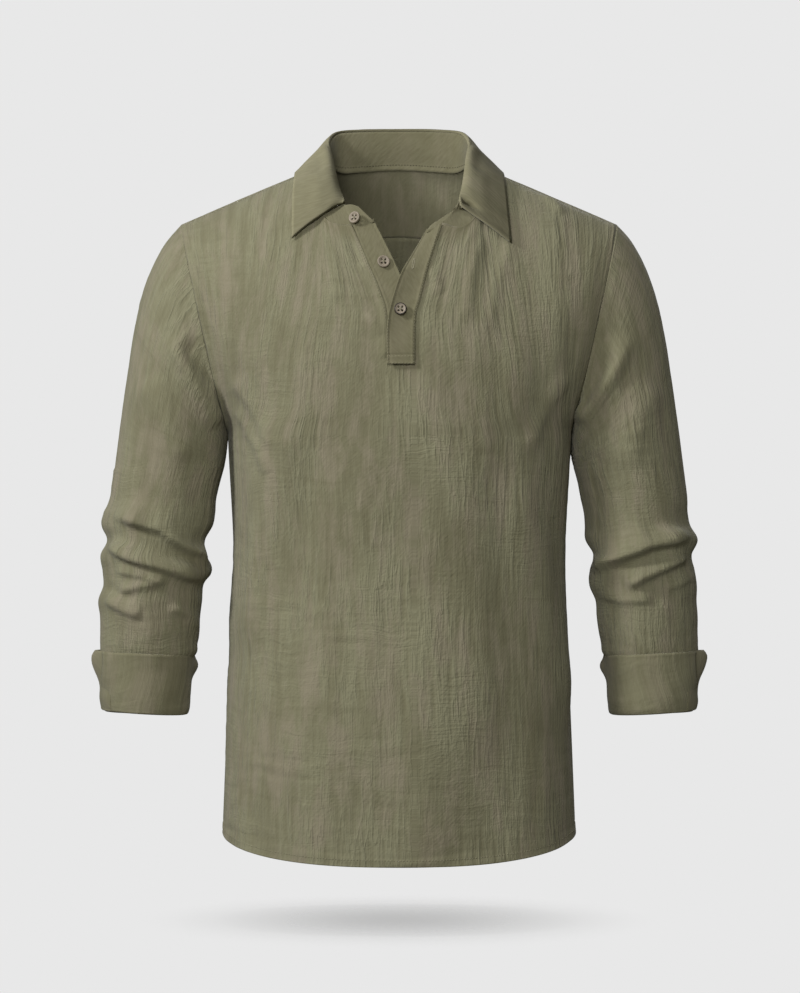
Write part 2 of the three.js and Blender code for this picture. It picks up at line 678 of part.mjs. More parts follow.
// Wearer's right is the left of the view. A sleeve is built on the right and mirrored.
function sleeveRings(side) {
  const axis = vec(ARMHOLE.topZ - ARMHOLE.footZ, 0, ARMHOLE.footX - ARMHOLE.topX).normalize();
  const gap = axis.multiplyScalar(SEAM);
  const cap = new THREE.CatmullRomCurve3(SLEEVE_CAP.map(([x, z]) => vec(x, 0, z)), false, 'chordal');
  const foot = vec(ARMHOLE.footX, 0, ARMHOLE.footZ).add(gap);
  const bend = vec(SLEEVE_FOOT_IN, 0, SLEEVE[side][0][0]);
  const rings = steps(CELLS.cap).map((t) => {
    const outerPoint = cap.getPointAt(t).add(gap.clone().multiplyScalar(1 - t));
    const innerPoint = foot.clone().lerp(bend, t);
    innerPoint.x -= SLEEVE_SLACK * Math.sin(Math.PI * t);
    return ring(outerPoint, innerPoint, lerp(ARMHOLE.front, SLEEVE[side][0][3], t),
      lerp(ARMHOLE.back, SLEEVE[side][0][4], t), 0);
  });
  for (const [z, inX, outX, frontDepth, backDepth, y] of SLEEVE[side].slice(1)) {
    rings.push(ring(vec(outX, 0, z), vec(inX, 0, z), frontDepth, backDepth, y));
  }
  return rings;
}

// Height of the diagonal folds at a point of the sleeve
function foldHeight(side, phi, z) {
  return ARM_FOLDS[side].reduce((sum, [level, rise, height, half]) => {
    const line = level + rise * Math.cos(phi);
    const off = (z - line) / half;
    const facing = 0.65 - 0.35 * Math.sin(phi);
    return sum + height * facing * Math.exp(-off * off);
  }, 0);
}

function sleeve(side) {
  const rings = sleeveRings(side);
  const turns = Array.from({ length: CELLS.round }, (_, i) => (i / CELLS.round) * 2 * Math.PI);
  const grid = rings.map((at) => turns.map((phi) => at(phi)));
  const high = grid.length;
  const rows = grid.map((row, j) => row.map((p, i) => {
    const a = row[(i + 1) % turns.length].clone().sub(row[(i + turns.length - 1) % turns.length]);
    const b = grid[Math.min(high - 1, j + 1)][i].clone().sub(grid[Math.max(0, j - 1)][i]);
    const n = a.cross(b).normalize();
    const middle = row[0].clone().add(row[turns.length / 2]).multiplyScalar(0.5);
    const out = p.clone().sub(middle);
    if (n.dot(out) < 0) n.negate();
    if (j === 0 || j === high - 1) n.copy(out).normalize();
    const free = j > 1 && j < high - SLEEVE_END.length;
    const lift = free ? foldHeight(side, turns[i], p.z) : 0;
    return { p: p.clone().addScaledVector(n, lift), n };
  }));
  rows.forEach((row) => row.forEach(({ p, n }) => {
    p.x *= sign[side];
    n.x *= sign[side];
  }));
  return wallOf(rows, { closed: true });
}

// Turned-back cuff: a short lip at the sleeve's end, a fold, and the band up the outside,
// with a vent whose front corner stands out
function cuff(side) {
  const path = [...CUFF_FOLD, [0, VENT.foot], [0, CUFF.top]];
  const n = CELLS.round;
  const turns = [VENT.halfAngle];
  for (let i = 1; i < n; i += 1) turns.push((i / n) * 2 * Math.PI);
  turns.push(2 * Math.PI - VENT.halfAngle);
  const share = (z) => (z - CUFF.foot) / (CUFF.top - CUFF.foot);
  const ringAt = (offset, z, phi) => {
    const inX = lerp(CUFF.inFoot, CUFF.inTop, share(z));
    const outX = lerp(CUFF.outFoot, CUFF.outTop, share(z));
    const middle = (inX + outX) / 2;
    const half = (outX - inX) / 2 + offset;
    return vec(middle + half * Math.cos(phi), CUFF_Y + (CUFF_DEPTH + offset) * Math.sin(phi), z);
  };
  const direction = (j, phi) => {
    const a = path[Math.max(0, j - 1)];
    const b = path[Math.min(path.length - 1, j + 1)];
    const [run, rise] = [b[0] - a[0], b[1] - a[1]];
    const length = Math.hypot(run, rise);
    const [out, up] = [rise / length, -run / length];
    return vec(out * Math.cos(phi), out * Math.sin(phi), up).normalize();
  };
  const rows = path.map(([offset, z], j) => turns.map((phi, i) => {
    const p = ringAt(offset, z, phi);
    const normal = direction(j, phi);
    const rise = clamp((z - VENT.foot) / (CUFF.top - VENT.foot), 0, 1);
    const frontCorner = i === turns.length - 1;
    if (frontCorner) p.add(vec(VENT.flare * rise, VENT.back * rise, 0));
    return { p, n: normal };
  }));
  rows.forEach((row) => row.forEach(({ p, n: normal }) => {
    p.x *= sign[side];
    normal.x *= sign[side];
  }));
  const ventRow = path.findIndex(([, z]) => z === VENT.foot);
  const last = turns.length - 1;
  return wallOf(rows, { closed: true, missing: (i, j) => i === last && j >= ventRow });
}

// Four-hole button, its face towards +Z before it is turned
function buttonGeometry() {
  const circle = (x, y, radius, sides) => steps(sides).slice(1).map((v) =>
    new THREE.Vector2(x + radius * Math.cos(2 * Math.PI * v), y + radius * Math.sin(2 * Math.PI * v)));
  const outline = new THREE.Shape(circle(0, 0, BUTTON.radius, 20));
  const places = [[-1, -1], [1, -1], [1, 1], [-1, 1]];
  outline.holes = places.map(([a, b]) =>
    new THREE.Path(circle(a * BUTTON.spacing, b * BUTTON.spacing, BUTTON.hole, 6)));
  return new THREE.ExtrudeGeometry(outline, { depth: BUTTON.thick, bevelEnabled: false });
}

const cloth = new THREE.MeshStandardMaterial({ color: 0x7d7a61, roughness: 0.95, metalness: 0 });
const horn = new THREE.MeshStandardMaterial({ color: 0xa79c88, roughness: 0.45, metalness: 0 });

const shirt = new THREE.Group();

function addPiece(name, geometry, material = cloth) {
  const mesh = new THREE.Mesh(geometry, material);
  mesh.name = name;
  shirt.add(mesh);
  return mesh;
}

// Buttons sit on their placket or tab: x, z, how far their back is from the body surface
const BUTTONS = [
  { name: 'button_stand', x: -45, z: -49, lift: 3.8, lean: 0.5 },
  { name: 'button_open', x: -15.5, z: -93.5, lift: 1.6, lean: 0.12 },
  { name: 'button_fastened', x: 1.5, z: -142, lift: 3.6, lean: 0 },
];

function addButton({ name, x, z, lift, lean }) {
  const { p, n } = onBody(bodyAt(x, z, false), false, lift);
  const face = n.clone().add(vec(lean, 0, 0)).normalize();
  const mesh = addPiece(name, buttonGeometry(), horn);
  mesh.quaternion.setFromUnitVectors(vec(0, 0, 1), face);
  mesh.position.copy(p);
}

addPiece('front', front());
addPiece('back', back());
addPiece('yoke', yoke());
for (const side of ['right', 'left']) {
  const wearer = side === 'left' ? 'right' : 'left';
  addPiece(`sleeve_${wearer}`, sleeve(side));
  addPiece(`cuff_${wearer}`, cuff(side));
}
addPiece('collar_stand', collarStand());
addPiece('collar_leaf', collarLeaf());
addPiece('placket_under', underPlacket());
addPiece('placket_over', overPlacket());
BUTTONS.forEach(addButton);

export default shirt;
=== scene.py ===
"""Pullover shirt in crinkled cotton with a collar and a half placket, worn and hollow.

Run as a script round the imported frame. Cloth sizes are in millimetres, as a cutter writes them;
meshes are in metres.
"""

import math

import bmesh
import bpy
from mathutils import Matrix, Vector, noise
from mathutils.bvhtree import BVHTree


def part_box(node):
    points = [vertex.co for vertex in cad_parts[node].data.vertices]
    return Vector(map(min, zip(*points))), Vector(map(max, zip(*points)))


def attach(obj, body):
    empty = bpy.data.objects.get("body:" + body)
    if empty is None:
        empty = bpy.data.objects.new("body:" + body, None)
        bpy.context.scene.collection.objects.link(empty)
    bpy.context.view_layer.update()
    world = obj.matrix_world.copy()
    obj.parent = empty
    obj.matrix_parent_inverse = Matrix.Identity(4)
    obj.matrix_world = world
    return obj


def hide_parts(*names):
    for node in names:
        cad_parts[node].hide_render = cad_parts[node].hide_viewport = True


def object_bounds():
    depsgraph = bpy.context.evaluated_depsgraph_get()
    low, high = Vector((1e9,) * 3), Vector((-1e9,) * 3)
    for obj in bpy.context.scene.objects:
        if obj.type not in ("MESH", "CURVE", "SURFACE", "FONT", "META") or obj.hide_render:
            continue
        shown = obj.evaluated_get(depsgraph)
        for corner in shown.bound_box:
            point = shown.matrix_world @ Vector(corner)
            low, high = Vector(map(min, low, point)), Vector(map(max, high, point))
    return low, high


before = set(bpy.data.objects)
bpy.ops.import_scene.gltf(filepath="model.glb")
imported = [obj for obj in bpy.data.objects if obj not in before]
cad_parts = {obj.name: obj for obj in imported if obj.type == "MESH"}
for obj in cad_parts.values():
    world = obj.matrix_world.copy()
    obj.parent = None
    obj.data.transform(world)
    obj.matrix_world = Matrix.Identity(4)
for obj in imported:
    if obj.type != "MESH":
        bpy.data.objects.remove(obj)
CAD_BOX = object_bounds()

bl_info = {
    "name": "Crinkled Cotton Popover",
    "version": (1, 0, 0),
    "blender": (4, 5, 0),
    "location": "View3D > Sidebar > Shirt",
    "description": "Builds a collared pullover shirt piece by piece",
    "category": "Add Mesh",
}

MM = 0.001
RIGHT_ANGLE = math.pi / 2


def edge_of(node, corner, axis):
    """One side of a CAD node's box, in millimetres."""
    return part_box(node)[corner][axis] / MM


def middle_of(node):
    low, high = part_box(node)
    return (Vector(low) + Vector(high)) / 2 / MM


# Body and pattern sizes, in millimetres. Trunk: height, half width, front depth, back depth
ROUNDNESS = 2.4
TRUNK = [
    (-715, 185, 127, 124), (-540, 178, 122, 118), (-400, 172, 118, 108),
    (-262, 178, 125, 116), (-140, 179, 125, 118), (60, 180, 125, 118),
]
HEM_SIDE = -673
HEM_FRONT_DROP = HEM_SIDE - edge_of("front", 0, 2)
HEM_BACK_DROP = HEM_SIDE - edge_of("back", 0, 2)
CROWN_FRONT, CROWN_BACK = 280, 240
RIDGE_TOP, RIDGE_SLOPE, RIDGE_ROUND = 54.5, 0.44, 40
ARM_TOP_X, ARM_TOP_Z, ARM_FOOT_X, ARM_FOOT_Z = 226, -46.5, 178, -262
ARM_FRONT, ARM_BACK = 64, 70
SHOULDER_SEAM = math.radians(-8)
YOKE_MIDDLE, YOKE_ENDS = -52, -100
YOKE_CURVE, YOKE_CROWDING = 1.6, math.radians(67.5)

# Neck lines as (x, degrees over the shoulder, back +), from the middle of the back to the front
NECK_BACK = [(0, 23.5), (40, 20.5), (66, 14), (77, 0)]
NECK_FRONT = {
    -1: [(84, -24), (79, -37), (62, -43), (48, -44.5)],
    1: [(84, -24), (80, -36.5), (64, -43.5), (44, -44.5)],
}
# Top of the stand, where the leaf rolls over it, as (x, y, z)
ROLL_BACK = [(0, 46, 55.5), (40, 43, 54.5), (65, 34, 51), (73.5, 8, 37)]
ROLL_FRONT = {
    -1: [(-71, -18, 19), (-67, -40, 0), (-62, -57, -18), (-56, -71, -32)],
    1: [(72, -18, 19), (69, -40, -1), (65, -58, -20), (60, -73, -35)],
}
# Free edge of the leaf, as the neck lines
LEAF_BACK = [(0, 28), (45, 25.5), (84, 17), (105, 1)]
LEAF_FRONT = {
    -1: [(107, -14), (108, -25), (108, -34), (108, -42.1)],
    1: [(108, -14), (109.5, -25), (111.5, -35), (113.5, -42.9)],
}
# How far the leaf's edge stands off the body
LEAF_LIFT = 3.6
# Ends of the stand beyond the leaf, as pairs of points at its foot and top
TABS = {
    -1: [((-38, -87.5, -52.5), (-48, -78.5, -32.8)), ((-26, -90, -50.3), (-41, -81.5, -35.2))],
    1: [((39, -90, -57), (46.5, -80.5, -44.5)), ((28, -91, -61), (32, -86, -54.5))],
}

SLIT_FOOT = -188
PLACKET_FOOT = edge_of("placket_over", 0, 2)
# Seams and free edges of the two placket bands as (height, x)
UNDER_SEAM = [(-188, -12), (-142, -13), (-115, -22), (-97, -30), (-53, -48)]
UNDER_EDGE = [(-188, 13), (-142, 13), (-105, 1), (-50, -25)]
OVER_SEAM = [(-197, 16), (-147, 17), (-132, 21), (-93, 31), (-50, 44)]
OVER_EDGE = [(-197, -12), (-155, -12), (-121, -4), (-103, 3), (-84, 14), (-60, 27.5)]
UNDER_WIDTH, OVER_WIDTH = 26, 29
# Tops of the bands as (height at the seam, height at the edge), and how far they stand off
UNDER_TOP, OVER_TOP = (-54, -48), (-54, -60)
UNDER_LIFT, OVER_LIFT = -0.2, 2

# Sleeve: outer line over the cap, then height, inner and outer x down the arm
SLEEVE_CAP = [
    (226, -46.5), (240, -62), (257, -92), (269, -126), (276.5, -160), (283.5, -205),
    (290, -252), (296, -300),
]
ARM_LINE = {
    -1: [
        (-300, 182.5, 297), (-316, 187, 299), (-332, 190.5, 301), (-346, 191.5, 307),
        (-359, 194, 309), (-374, 202, 303), (-390, 201.5, 310), (-406, 196, 308),
        (-421, 204, 307), (-437, 205, 312), (-452, 207, 310), (-468, 208, 309.5),
        (-481, 210, 309.5),
    ],
    1: [
        (-300, 182, 296), (-316, 186, 298), (-332, 189, 299.5), (-346, 192, 299.5),
        (-359, 193, 302), (-374, 193.5, 309.5), (-390, 202, 303), (-406, 198.5, 306),
        (-421, 197.5, 308), (-437, 204, 307.5), (-452, 205, 308.5), (-468, 207, 308.5),
        (-481, 209.5, 308.5),
    ],
}
ARM_TUCK = [(-490, 210.5, 309), (-496, 214.5, 307), (-502, 218.5, 304), (-551, 222.5, 304.5)]
ARM_DEPTH = [
    (-551, 42), (-499, 42.5), (-493, 44.2), (-484, 46.6), (-470, 48.5), (-440, 51.5),
    (-360, 57), (-300, 60),
]
ARM_BEND = [(-551, -10), (-460, -8), (-300, 0)]
# Folds of the sleeve: points out from the middle of the body and down, height, half width
# above and below
ARM_FOLDS = {
    -1: [
        ([(298, -347), (244, -363), (214, -387), (190, -401)], 9, 16, 4.5),
        ([(304, -379), (275, -392), (244, -402), (196, -416)], 7, 11, 4),
        ([(272, -352), (232, -366), (204, -384)], -3.5, 14, 7),
        ([(292, -405), (264, -410), (235, -418)], 3, 6, 3),
        ([(290, -428), (262, -420), (238, -416)], 3, 6, 4),
        ([(304, -434), (280, -446), (262, -452)], 3.5, 9, 4),
        ([(303, -420), (286, -430), (268, -434)], -2, 6, 5),
        ([(236, -440), (216, -452), (207, -468)], 2.5, 6, 4),
        ([(222, -168), (203, -196), (187, -219)], -4, 9, 7),
        ([(238, -160), (216, -200), (196, -236), (184, -262)], 4.5, 12, 10),
        ([(262, -205), (238, -250), (214, -300)], 2.5, 16, 14),
    ],
    1: [
        ([(194, -408), (226, -394), (257, -379), (306, -369)], 10, 18, 4),
        ([(232, -424), (250, -412), (267, -404), (302, -388)], 6.5, 10, 4),
        ([(246, -371), (276, -360), (300, -352)], -3, 12, 8),
        ([(204, -430), (232, -436), (262, -434)], 2.5, 8, 4),
        ([(270, -425), (292, -416), (306, -410)], 2.5, 7, 4),
        ([(240, -159), (216, -205), (195, -236), (182, -257)], 5.5, 12, 10),
        ([(222, -176), (202, -212), (188, -240)], -3.5, 9, 8),
        ([(268, -210), (246, -250), (226, -306)], 2.5, 16, 14),
    ],
}
# Folds of the front as (x, z) points, height, half width to either side
FRONT_FOLDS = [
    ([(-113, -226), (-137, -370), (-158, -500)], 4, 26, 22),
    ([(-84, -240), (-105, -400), (-112, -570)], -2.6, 24, 24),
    ([(112, -300), (150, -420), (176, -570)], 3.5, 16, 22),
    ([(60, -240), (72, -420), (80, -630)], 2.2, 22, 26),
    ([(-22, -215), (-30, -420), (-22, -650)], 1.8, 18, 22),
    ([(-172, -208), (-148, -240), (-122, -284)], 2.6, 9, 6),
    ([(-170, -240), (-146, -272), (-130, -310)], 2.2, 8, 5),
    ([(-54, -62), (-46, -80), (-37, -98)], -2, 5, 4),
    ([(-78, -58), (-66, -100), (-62, -140)], 1.4, 8, 8),
    ([(-34, -146), (-26, -154), (-17, -168)], 1.8, 4, 3),
    ([(26, -96), (38, -112), (42, -128)], 1.6, 5, 4),
    ([(112, -62), (98, -110), (90, -170)], 1.6, 7, 7),
    ([(88, -56), (72, -110), (66, -160)], 1.4, 6, 6),
    ([(140, -4), (156, -24), (168, -42)], 2.2, 6, 5),
    ([(176, -200), (150, -236), (128, -290)], 2.4, 9, 7),
]
# The same for the back
BACK_FOLDS = [
    ([(-104, -240), (-140, -380), (-156, -520)], 3.5, 24, 22),
    ([(98, -240), (132, -390), (150, -540)], 3.5, 24, 22),
    ([(-24, -120), (-30, -300), (-22, -560)], 2.4, 18, 20),
    ([(30, -120), (38, -320), (26, -600)], 2.2, 20, 18),
    ([(-174, -206), (-148, -244), (-120, -292)], 2.6, 9, 7),
    ([(174, -206), (150, -240), (122, -286)], 2.6, 9, 7),
]
CUFF_TOP = edge_of("cuff_left", 1, 2)
CUFF_FOOT = edge_of("cuff_left", 0, 2)
CUFF_IN = (218, 213.5)
CUFF_OUT = (309, 309.5)
CUFF_DEPTH, CUFF_Y = 46.5, -10
VENT_FOOT = -535

# Share of a half panel's top that is neckline, and the side of one quad of the body cloth
NECK_SHARE = 0.45
QUAD = 3.2


class ShirtSizes(bpy.types.PropertyGroup):
    """Sizes that a user would change."""
    wall: bpy.props.FloatProperty(
        name="Cloth", description="Thickness of a single layer", default=0.0011, unit="LENGTH")
    doubled: bpy.props.FloatProperty(
        name="Doubled cloth", description="Thickness of collar and cuff", default=0.0019,
        unit="LENGTH")
    crinkle: bpy.props.FloatProperty(
        name="Crinkle", description="Height of the long crinkles", default=0.0013, unit="LENGTH")
    stitch: bpy.props.FloatProperty(
        name="Stitch", description="Length from one stitch to the next", default=0.0031,
        unit="LENGTH")
    button: bpy.props.FloatProperty(
        name="Button", description="Radius of a button", default=0.0063, unit="LENGTH")


class ShirtColours(bpy.types.PropertyGroup):
    """Colours that a user would change."""
    face: bpy.props.FloatVectorProperty(
        name="Cloth", description="Olive of the cloth's raised threads", subtype="COLOR", size=3,
        default=(0.262, 0.252, 0.160))
    # Painted shade: olive darkened for the shade in the crinkles' creases and in broad streaks
    # that stand for drape folds.
    hollow: bpy.props.FloatVectorProperty(
        name="Cloth hollows", description="Olive in the creases", subtype="COLOR", size=3,
        default=(0.165, 0.152, 0.088))
    faded: bpy.props.FloatVectorProperty(
        name="Faded cloth", description="Greyer brown where the dye is thin", subtype="COLOR",
        size=3, default=(0.285, 0.252, 0.178))
    thread: bpy.props.FloatVectorProperty(
        name="Thread", description="Sewing thread", subtype="COLOR", size=3,
        default=(0.30, 0.28, 0.185))
    button: bpy.props.FloatVectorProperty(
        name="Button", description="Horn-like button", subtype="COLOR", size=3,
        default=(0.34, 0.285, 0.215))
    # Painted shade: near-black laid on the fastened button's rim.
    rim: bpy.props.FloatVectorProperty(
        name="Button rim", description="Dark rim of the fastened button", subtype="COLOR", size=3,
        default=(0.035, 0.024, 0.014))
    light_thread: bpy.props.FloatVectorProperty(
        name="Light thread", description="Thread of the buttonhole", subtype="COLOR", size=3,
        default=(0.42, 0.39, 0.27))
    # Painted shade: near-black thread standing in for the shade where the neck stitches sink into
    # the seam.
    painted_shade_thread: bpy.props.FloatVectorProperty(
        name="Shaded thread", description="Thread sunk in the neck seam", subtype="COLOR", size=3,
        default=(0.10, 0.09, 0.05))
    backdrop: bpy.props.FloatVectorProperty(
        name="Backdrop", description="Pale floor and wall", subtype="COLOR", size=3,
        default=(0.807, 0.807, 0.807))


def sizes():
    return bpy.context.scene.shirt_sizes


def colours():
    return bpy.context.scene.shirt_colours


# ---- Curves and the body surface ----

def lerp(a, b, t):
    return a + (b - a) * t


def clamp(value, low=0.0, high=1.0):
    return min(high, max(low, value))


def ease(value):
    t = clamp(value)
    return t * t * (3 - 2 * t)


def stations(rows, column=1):
    """A smooth curve through rows of (key, value, ...), as a function of the key."""
    rows = sorted(rows)
    keys = [r[0] for r in rows]
    values = [r[column] for r in rows]
    last = len(rows) - 1

    def slope(i):
        low, high = max(0, i - 1), min(last, i + 1)
        return (values[high] - values[low]) / (keys[high] - keys[low])

    slopes = [slope(i) for i in range(len(rows))]

    def read(key):
        k = clamp(key, keys[0], keys[-1])
        i = 0
        while i < last - 1 and k > keys[i + 1]:
            i += 1
        span = keys[i + 1] - keys[i]
        t = (k - keys[i]) / span
        t2, t3 = t * t, t * t * t
        return ((2 * t3 - 3 * t2 + 1) * values[i] + (t3 - 2 * t2 + t) * span * slopes[i]
                + (3 * t2 - 2 * t3) * values[i + 1] + (t3 - t2) * span * slopes[i + 1])
    return read


def spline(points, power=0.25):
    """A Catmull-Rom curve from 0 to 1 whose knots are spaced by distance."""
    points = [Vector(p) for p in points]
    last = len(points) - 1
    padded = [2 * points[0] - points[1], *points, 2 * points[-1] - points[-2]]

    def read(t):
        place = clamp(t) * last
        i = min(int(place), last - 1)
        w = place - i
        p0, p1, p2, p3 = padded[i:i + 4]
        d0, d1, d2 = ((b - a).length_squared ** power for a, b in ((p0, p1), (p1, p2), (p2, p3)))
        t1 = ((p1 - p0) / d0 - (p2 - p0) / (d0 + d1) + (p2 - p1) / d1) * d1
        t2 = ((p2 - p1) / d1 - (p3 - p1) / (d1 + d2) + (p3 - p2) / d2) * d1
        return (p1 + t1 * w + (3 * (p2 - p1) - 2 * t1 - t2) * w * w
                + (2 * (p1 - p2) + t1 + t2) * w ** 3)
    return read


trunk_half = stations(TRUNK, 1)
trunk_front = stations(TRUNK, 2)
trunk_back = stations(TRUNK, 3)


def depth(z, back):
    return trunk_back(z) if back else trunk_front(z)


def crown_height(back):
    return CROWN_BACK if back else CROWN_FRONT


def ridge(x):
    """Height of the shoulder line."""
    return RIDGE_TOP - RIDGE_SLOPE * math.hypot(x, RIDGE_ROUND)


def crown(drop, back):
    rest = 1 - clamp(drop / crown_height(back))
    return math.sqrt(max(0.0, 1 - rest * rest))


ARM_MID_Z = (ARM_TOP_Z + ARM_FOOT_Z) / 2
ARM_HALF = (ARM_TOP_Z - ARM_FOOT_Z) / 2


def armhole_x(z):
    return lerp(ARM_TOP_X, ARM_FOOT_X, (ARM_TOP_Z - z) / (ARM_TOP_Z - ARM_FOOT_Z))


def armhole_height(turn):
    return ARM_MID_Z - ARM_HALF * math.cos(turn)


def virtual_width(z, back):
    """Half width of the trunk's oval, which meets the armhole above its foot."""
    if z <= ARM_FOOT_Z:
        return trunk_half(z)
    height = min(z, ARM_TOP_Z - 0.05)
    x = armhole_x(height)
    rise = (height - ARM_MID_Z) / ARM_HALF
    reach = (ARM_BACK if back else ARM_FRONT) * math.sqrt(max(0.0, 1 - rise * rise))
    ratio = clamp(reach / (depth(height, back) * crown(ridge(x) - height, back)), 0, 0.96)
    return x / (1 - ratio ** ROUNDNESS) ** (1 / ROUNDNESS)


def lateral(x, width):
    return max(0.0, 1 - abs(x / width) ** ROUNDNESS) ** (1 / ROUNDNESS)


def body_at(x, z, back):
    y = depth(z, back) * crown(ridge(x) - z, back) * lateral(x, virtual_width(z, back))
    return Vector((x, y if back else -y, z))


def trunk_at(theta, z):
    s, c = math.sin(theta), math.cos(theta)
    back = c < 0
    width = virtual_width(z, back)
    x = math.copysign(width * abs(s) ** (2 / ROUNDNESS), s)
    y = depth(z, back) * crown(ridge(x) - z, back) * abs(c) ** (2 / ROUNDNESS)
    return Vector((x, y if back else -y, z))


def shoulder_at(x, omega):
    """Point at an angle over the shoulder, negative in front."""
    back = omega > 0
    z = ridge(x) - crown_height(back) * (1 - math.cos(omega))
    return Vector((x, depth(z, back) * math.sin(omega) * lateral(x, virtual_width(z, back)), z))


def over_angle(x, z, back):
    angle = math.acos(clamp(1 - (ridge(x) - z) / crown_height(back), -1, 1))
    return angle if back else -angle


def side_angle(z, back):
    if z <= ARM_FOOT_Z:
        return RIGHT_ANGLE
    return math.asin(clamp((armhole_x(z) / virtual_width(z, back)) ** (ROUNDNESS / 2)))


def armhole_at(omega):
    back = omega > 0
    x = ARM_TOP_X
    for _ in range(8):
        z = ridge(x) - crown_height(back) * (1 - math.cos(omega))
        x = armhole_x(z)
    return x, z


def body_normal(p):
    """Outward direction of the body surface at one of its points, away from the sides."""
    back = p.y > 0
    across = body_at(p.x + 1, p.z, back) - body_at(p.x - 1, p.z, back)
    along = body_at(p.x, p.z + 1, back) - body_at(p.x, p.z - 1, back)
    n = across.cross(along).normalized()
    return -n if n.dot(Vector((p.x, p.y, 40))) < 0 else n


def patch(bottom, top, left, right, u, v):
    """A place between four boundary curves of number pairs."""
    def mix(k):
        return ((1 - v) * bottom(u)[k] + v * top(u)[k] + (1 - u) * left(v)[k] + u * right(v)[k]
                - (1 - u) * (1 - v) * bottom(0)[k] - u * (1 - v) * bottom(1)[k]
                - (1 - u) * v * top(0)[k] - u * v * top(1)[k])
    return mix(0), mix(1)


def round_neck(back_points, front_points, side):
    """A line round the neck as (x, angle over the shoulder), from the back to the front end."""
    points = [(x, a, 0) for x, a in [*back_points, *front_points]]
    points.insert(0, (-points[1][0], points[1][1], 0))
    curve = spline(points)
    first = 1 / (len(points) - 1)

    def read(t):
        p = curve(lerp(first, 1, t))
        return side * p.x, math.radians(p.y)
    return read


NECK = {s: round_neck(NECK_BACK, NECK_FRONT[s], s) for s in (-1, 1)}
LEAF_LINE = {s: round_neck(LEAF_BACK, LEAF_FRONT[s], s) for s in (-1, 1)}


def seam_place(side):
    low, high = 0.0, 1.0
    for _ in range(40):
        mid = (low + high) / 2
        low, high = (mid, high) if NECK[side](mid)[1] > SHOULDER_SEAM else (low, mid)
    return low


SEAM_PLACE = {s: seam_place(s) for s in (-1, 1)}


def roll_line(side):
    points = [(side * x, y, z) for x, y, z in ROLL_BACK] + ROLL_FRONT[side]
    points.insert(0, (-points[1][0], points[1][1], points[1][2]))
    curve = spline(points)
    first = 1 / (len(points) - 1)
    return lambda t: curve(lerp(first, 1, t))


ROLL = {s: roll_line(s) for s in (-1, 1)}


# ---- Crinkles and folds ----

def ripple(u, v, wide, tall, seed):
    return noise.noise(Vector((u / wide, v / tall, seed)))


def crinkle(u, v, seed, across=0.3):
    """Height of the crinkled cloth, about -1 to 1, at a place on it in millimetres."""
    drift = 9 * ripple(u, v, 60, 90, seed + 7)
    shift = 14 * ripple(u, v, 40, 55, seed + 11)
    lively = ease(0.5 + 1.5 * ripple(u, v, 95, 160, seed + 13))
    long = 1 - 2 * abs(ripple(u + drift, v, 26, 190, seed)) ** 0.8
    short = ripple(u + drift, v + shift, 10, 60, seed + 3)
    cross = ripple(u + shift, v + drift, 42, 8.5, seed + 5)
    patchy = ease(0.5 + 1.6 * ripple(u, v, 120, 100, seed + 9))
    return lively * (0.5 * long + 0.5 * short) + across * cross * (0.4 + patchy)


def drape(u, v, seed):
    """Broad soft folds, in millimetres."""
    return 4 * ripple(u, v, 75, 420, seed) + 2.4 * ripple(u, v, 38, 230, seed + 2)


def fold_lift(out, z, folds):
    """Height of listed folds at a place out from the body's middle and down."""
    total = 0.0
    for points, height, above, below in folds:
        best = None
        for i, (a, b) in enumerate(zip(points, points[1:])):
            run, rise = b[0] - a[0], b[1] - a[1]
            length = math.hypot(run, rise)
            t = ((out - a[0]) * run + (z - a[1]) * rise) / (length * length)
            near = clamp(t)
            gap = math.hypot(out - a[0] - near * run, z - a[1] - near * rise)
            side = (run * (z - a[1]) - rise * (out - a[0])) * (1 if run >= 0 else -1)
            if best is None or gap < best[0]:
                best = (gap, side, (i + near) / (len(points) - 1))
        gap, side, along = best
        half = above if side > 0 else below
        total += height * math.exp(-(gap / half) ** 2) * ease(5 * along) * ease(5 * (1 - along))
    return total


# ---- Making cloth ----

def new_sheet(name, columns, rows, place, outward, keep=None, weld=False, relax=0, calm=None):
    """A grid carried to the body: place(i, j) gives a point, its place on the cloth and how far
    it is lifted, all in millimetres. outward(point) points to the outside. relax evens out the
    surface inside its borders before anything is lifted, and calm(i, j) is 1 where the crinkles
    are pressed flat."""
    bm = bmesh.new()
    uv = bm.loops.layers.uv.new("Cloth")
    calmed = bm.verts.layers.float.new("Calm")
    bmesh.ops.create_grid(bm, x_segments=columns, y_segments=rows, size=0.5)
    spots = {}
    for v in bm.verts:
        i, j = round((v.co.x + 0.5) * columns), round((v.co.y + 0.5) * rows)
        spots[v] = (i, j, *place(i, j))
    for v, (i, j, point, _, _) in spots.items():
        v.co = point * MM
        v[calmed] = calm(i, j) if calm else 0.0
    for face in bm.faces:
        for loop in face.loops:
            loop[uv].uv = [c * MM for c in spots[loop.vert][3]]
    if keep:
        gone = [f for f in bm.faces if not keep(
            min(spots[v][0] for v in f.verts), min(spots[v][1] for v in f.verts))]
        bmesh.ops.delete(bm, geom=gone, context="FACES")
    inner = [v for v in bm.verts if not v.is_boundary]
    for _ in range(relax):
        bmesh.ops.smooth_vert(bm, verts=inner, factor=0.5, use_axis_x=True, use_axis_y=True,
                              use_axis_z=True)
    bm.normal_update()
    facing = sum(f.normal.dot(outward(f.calc_center_median() / MM)) for f in bm.faces)
    if facing < 0:
        bmesh.ops.reverse_faces(bm, faces=bm.faces)
        bm.normal_update()
    lifted = [(v, v.normal.copy()) for v in bm.verts]
    for v, n in lifted:
        v.co += n * spots[v][4] * MM
    if weld:
        bmesh.ops.remove_doubles(bm, verts=bm.verts, dist=1e-5)
    mesh = mesh_from(bm, name)
    return finish_piece(mesh, name)


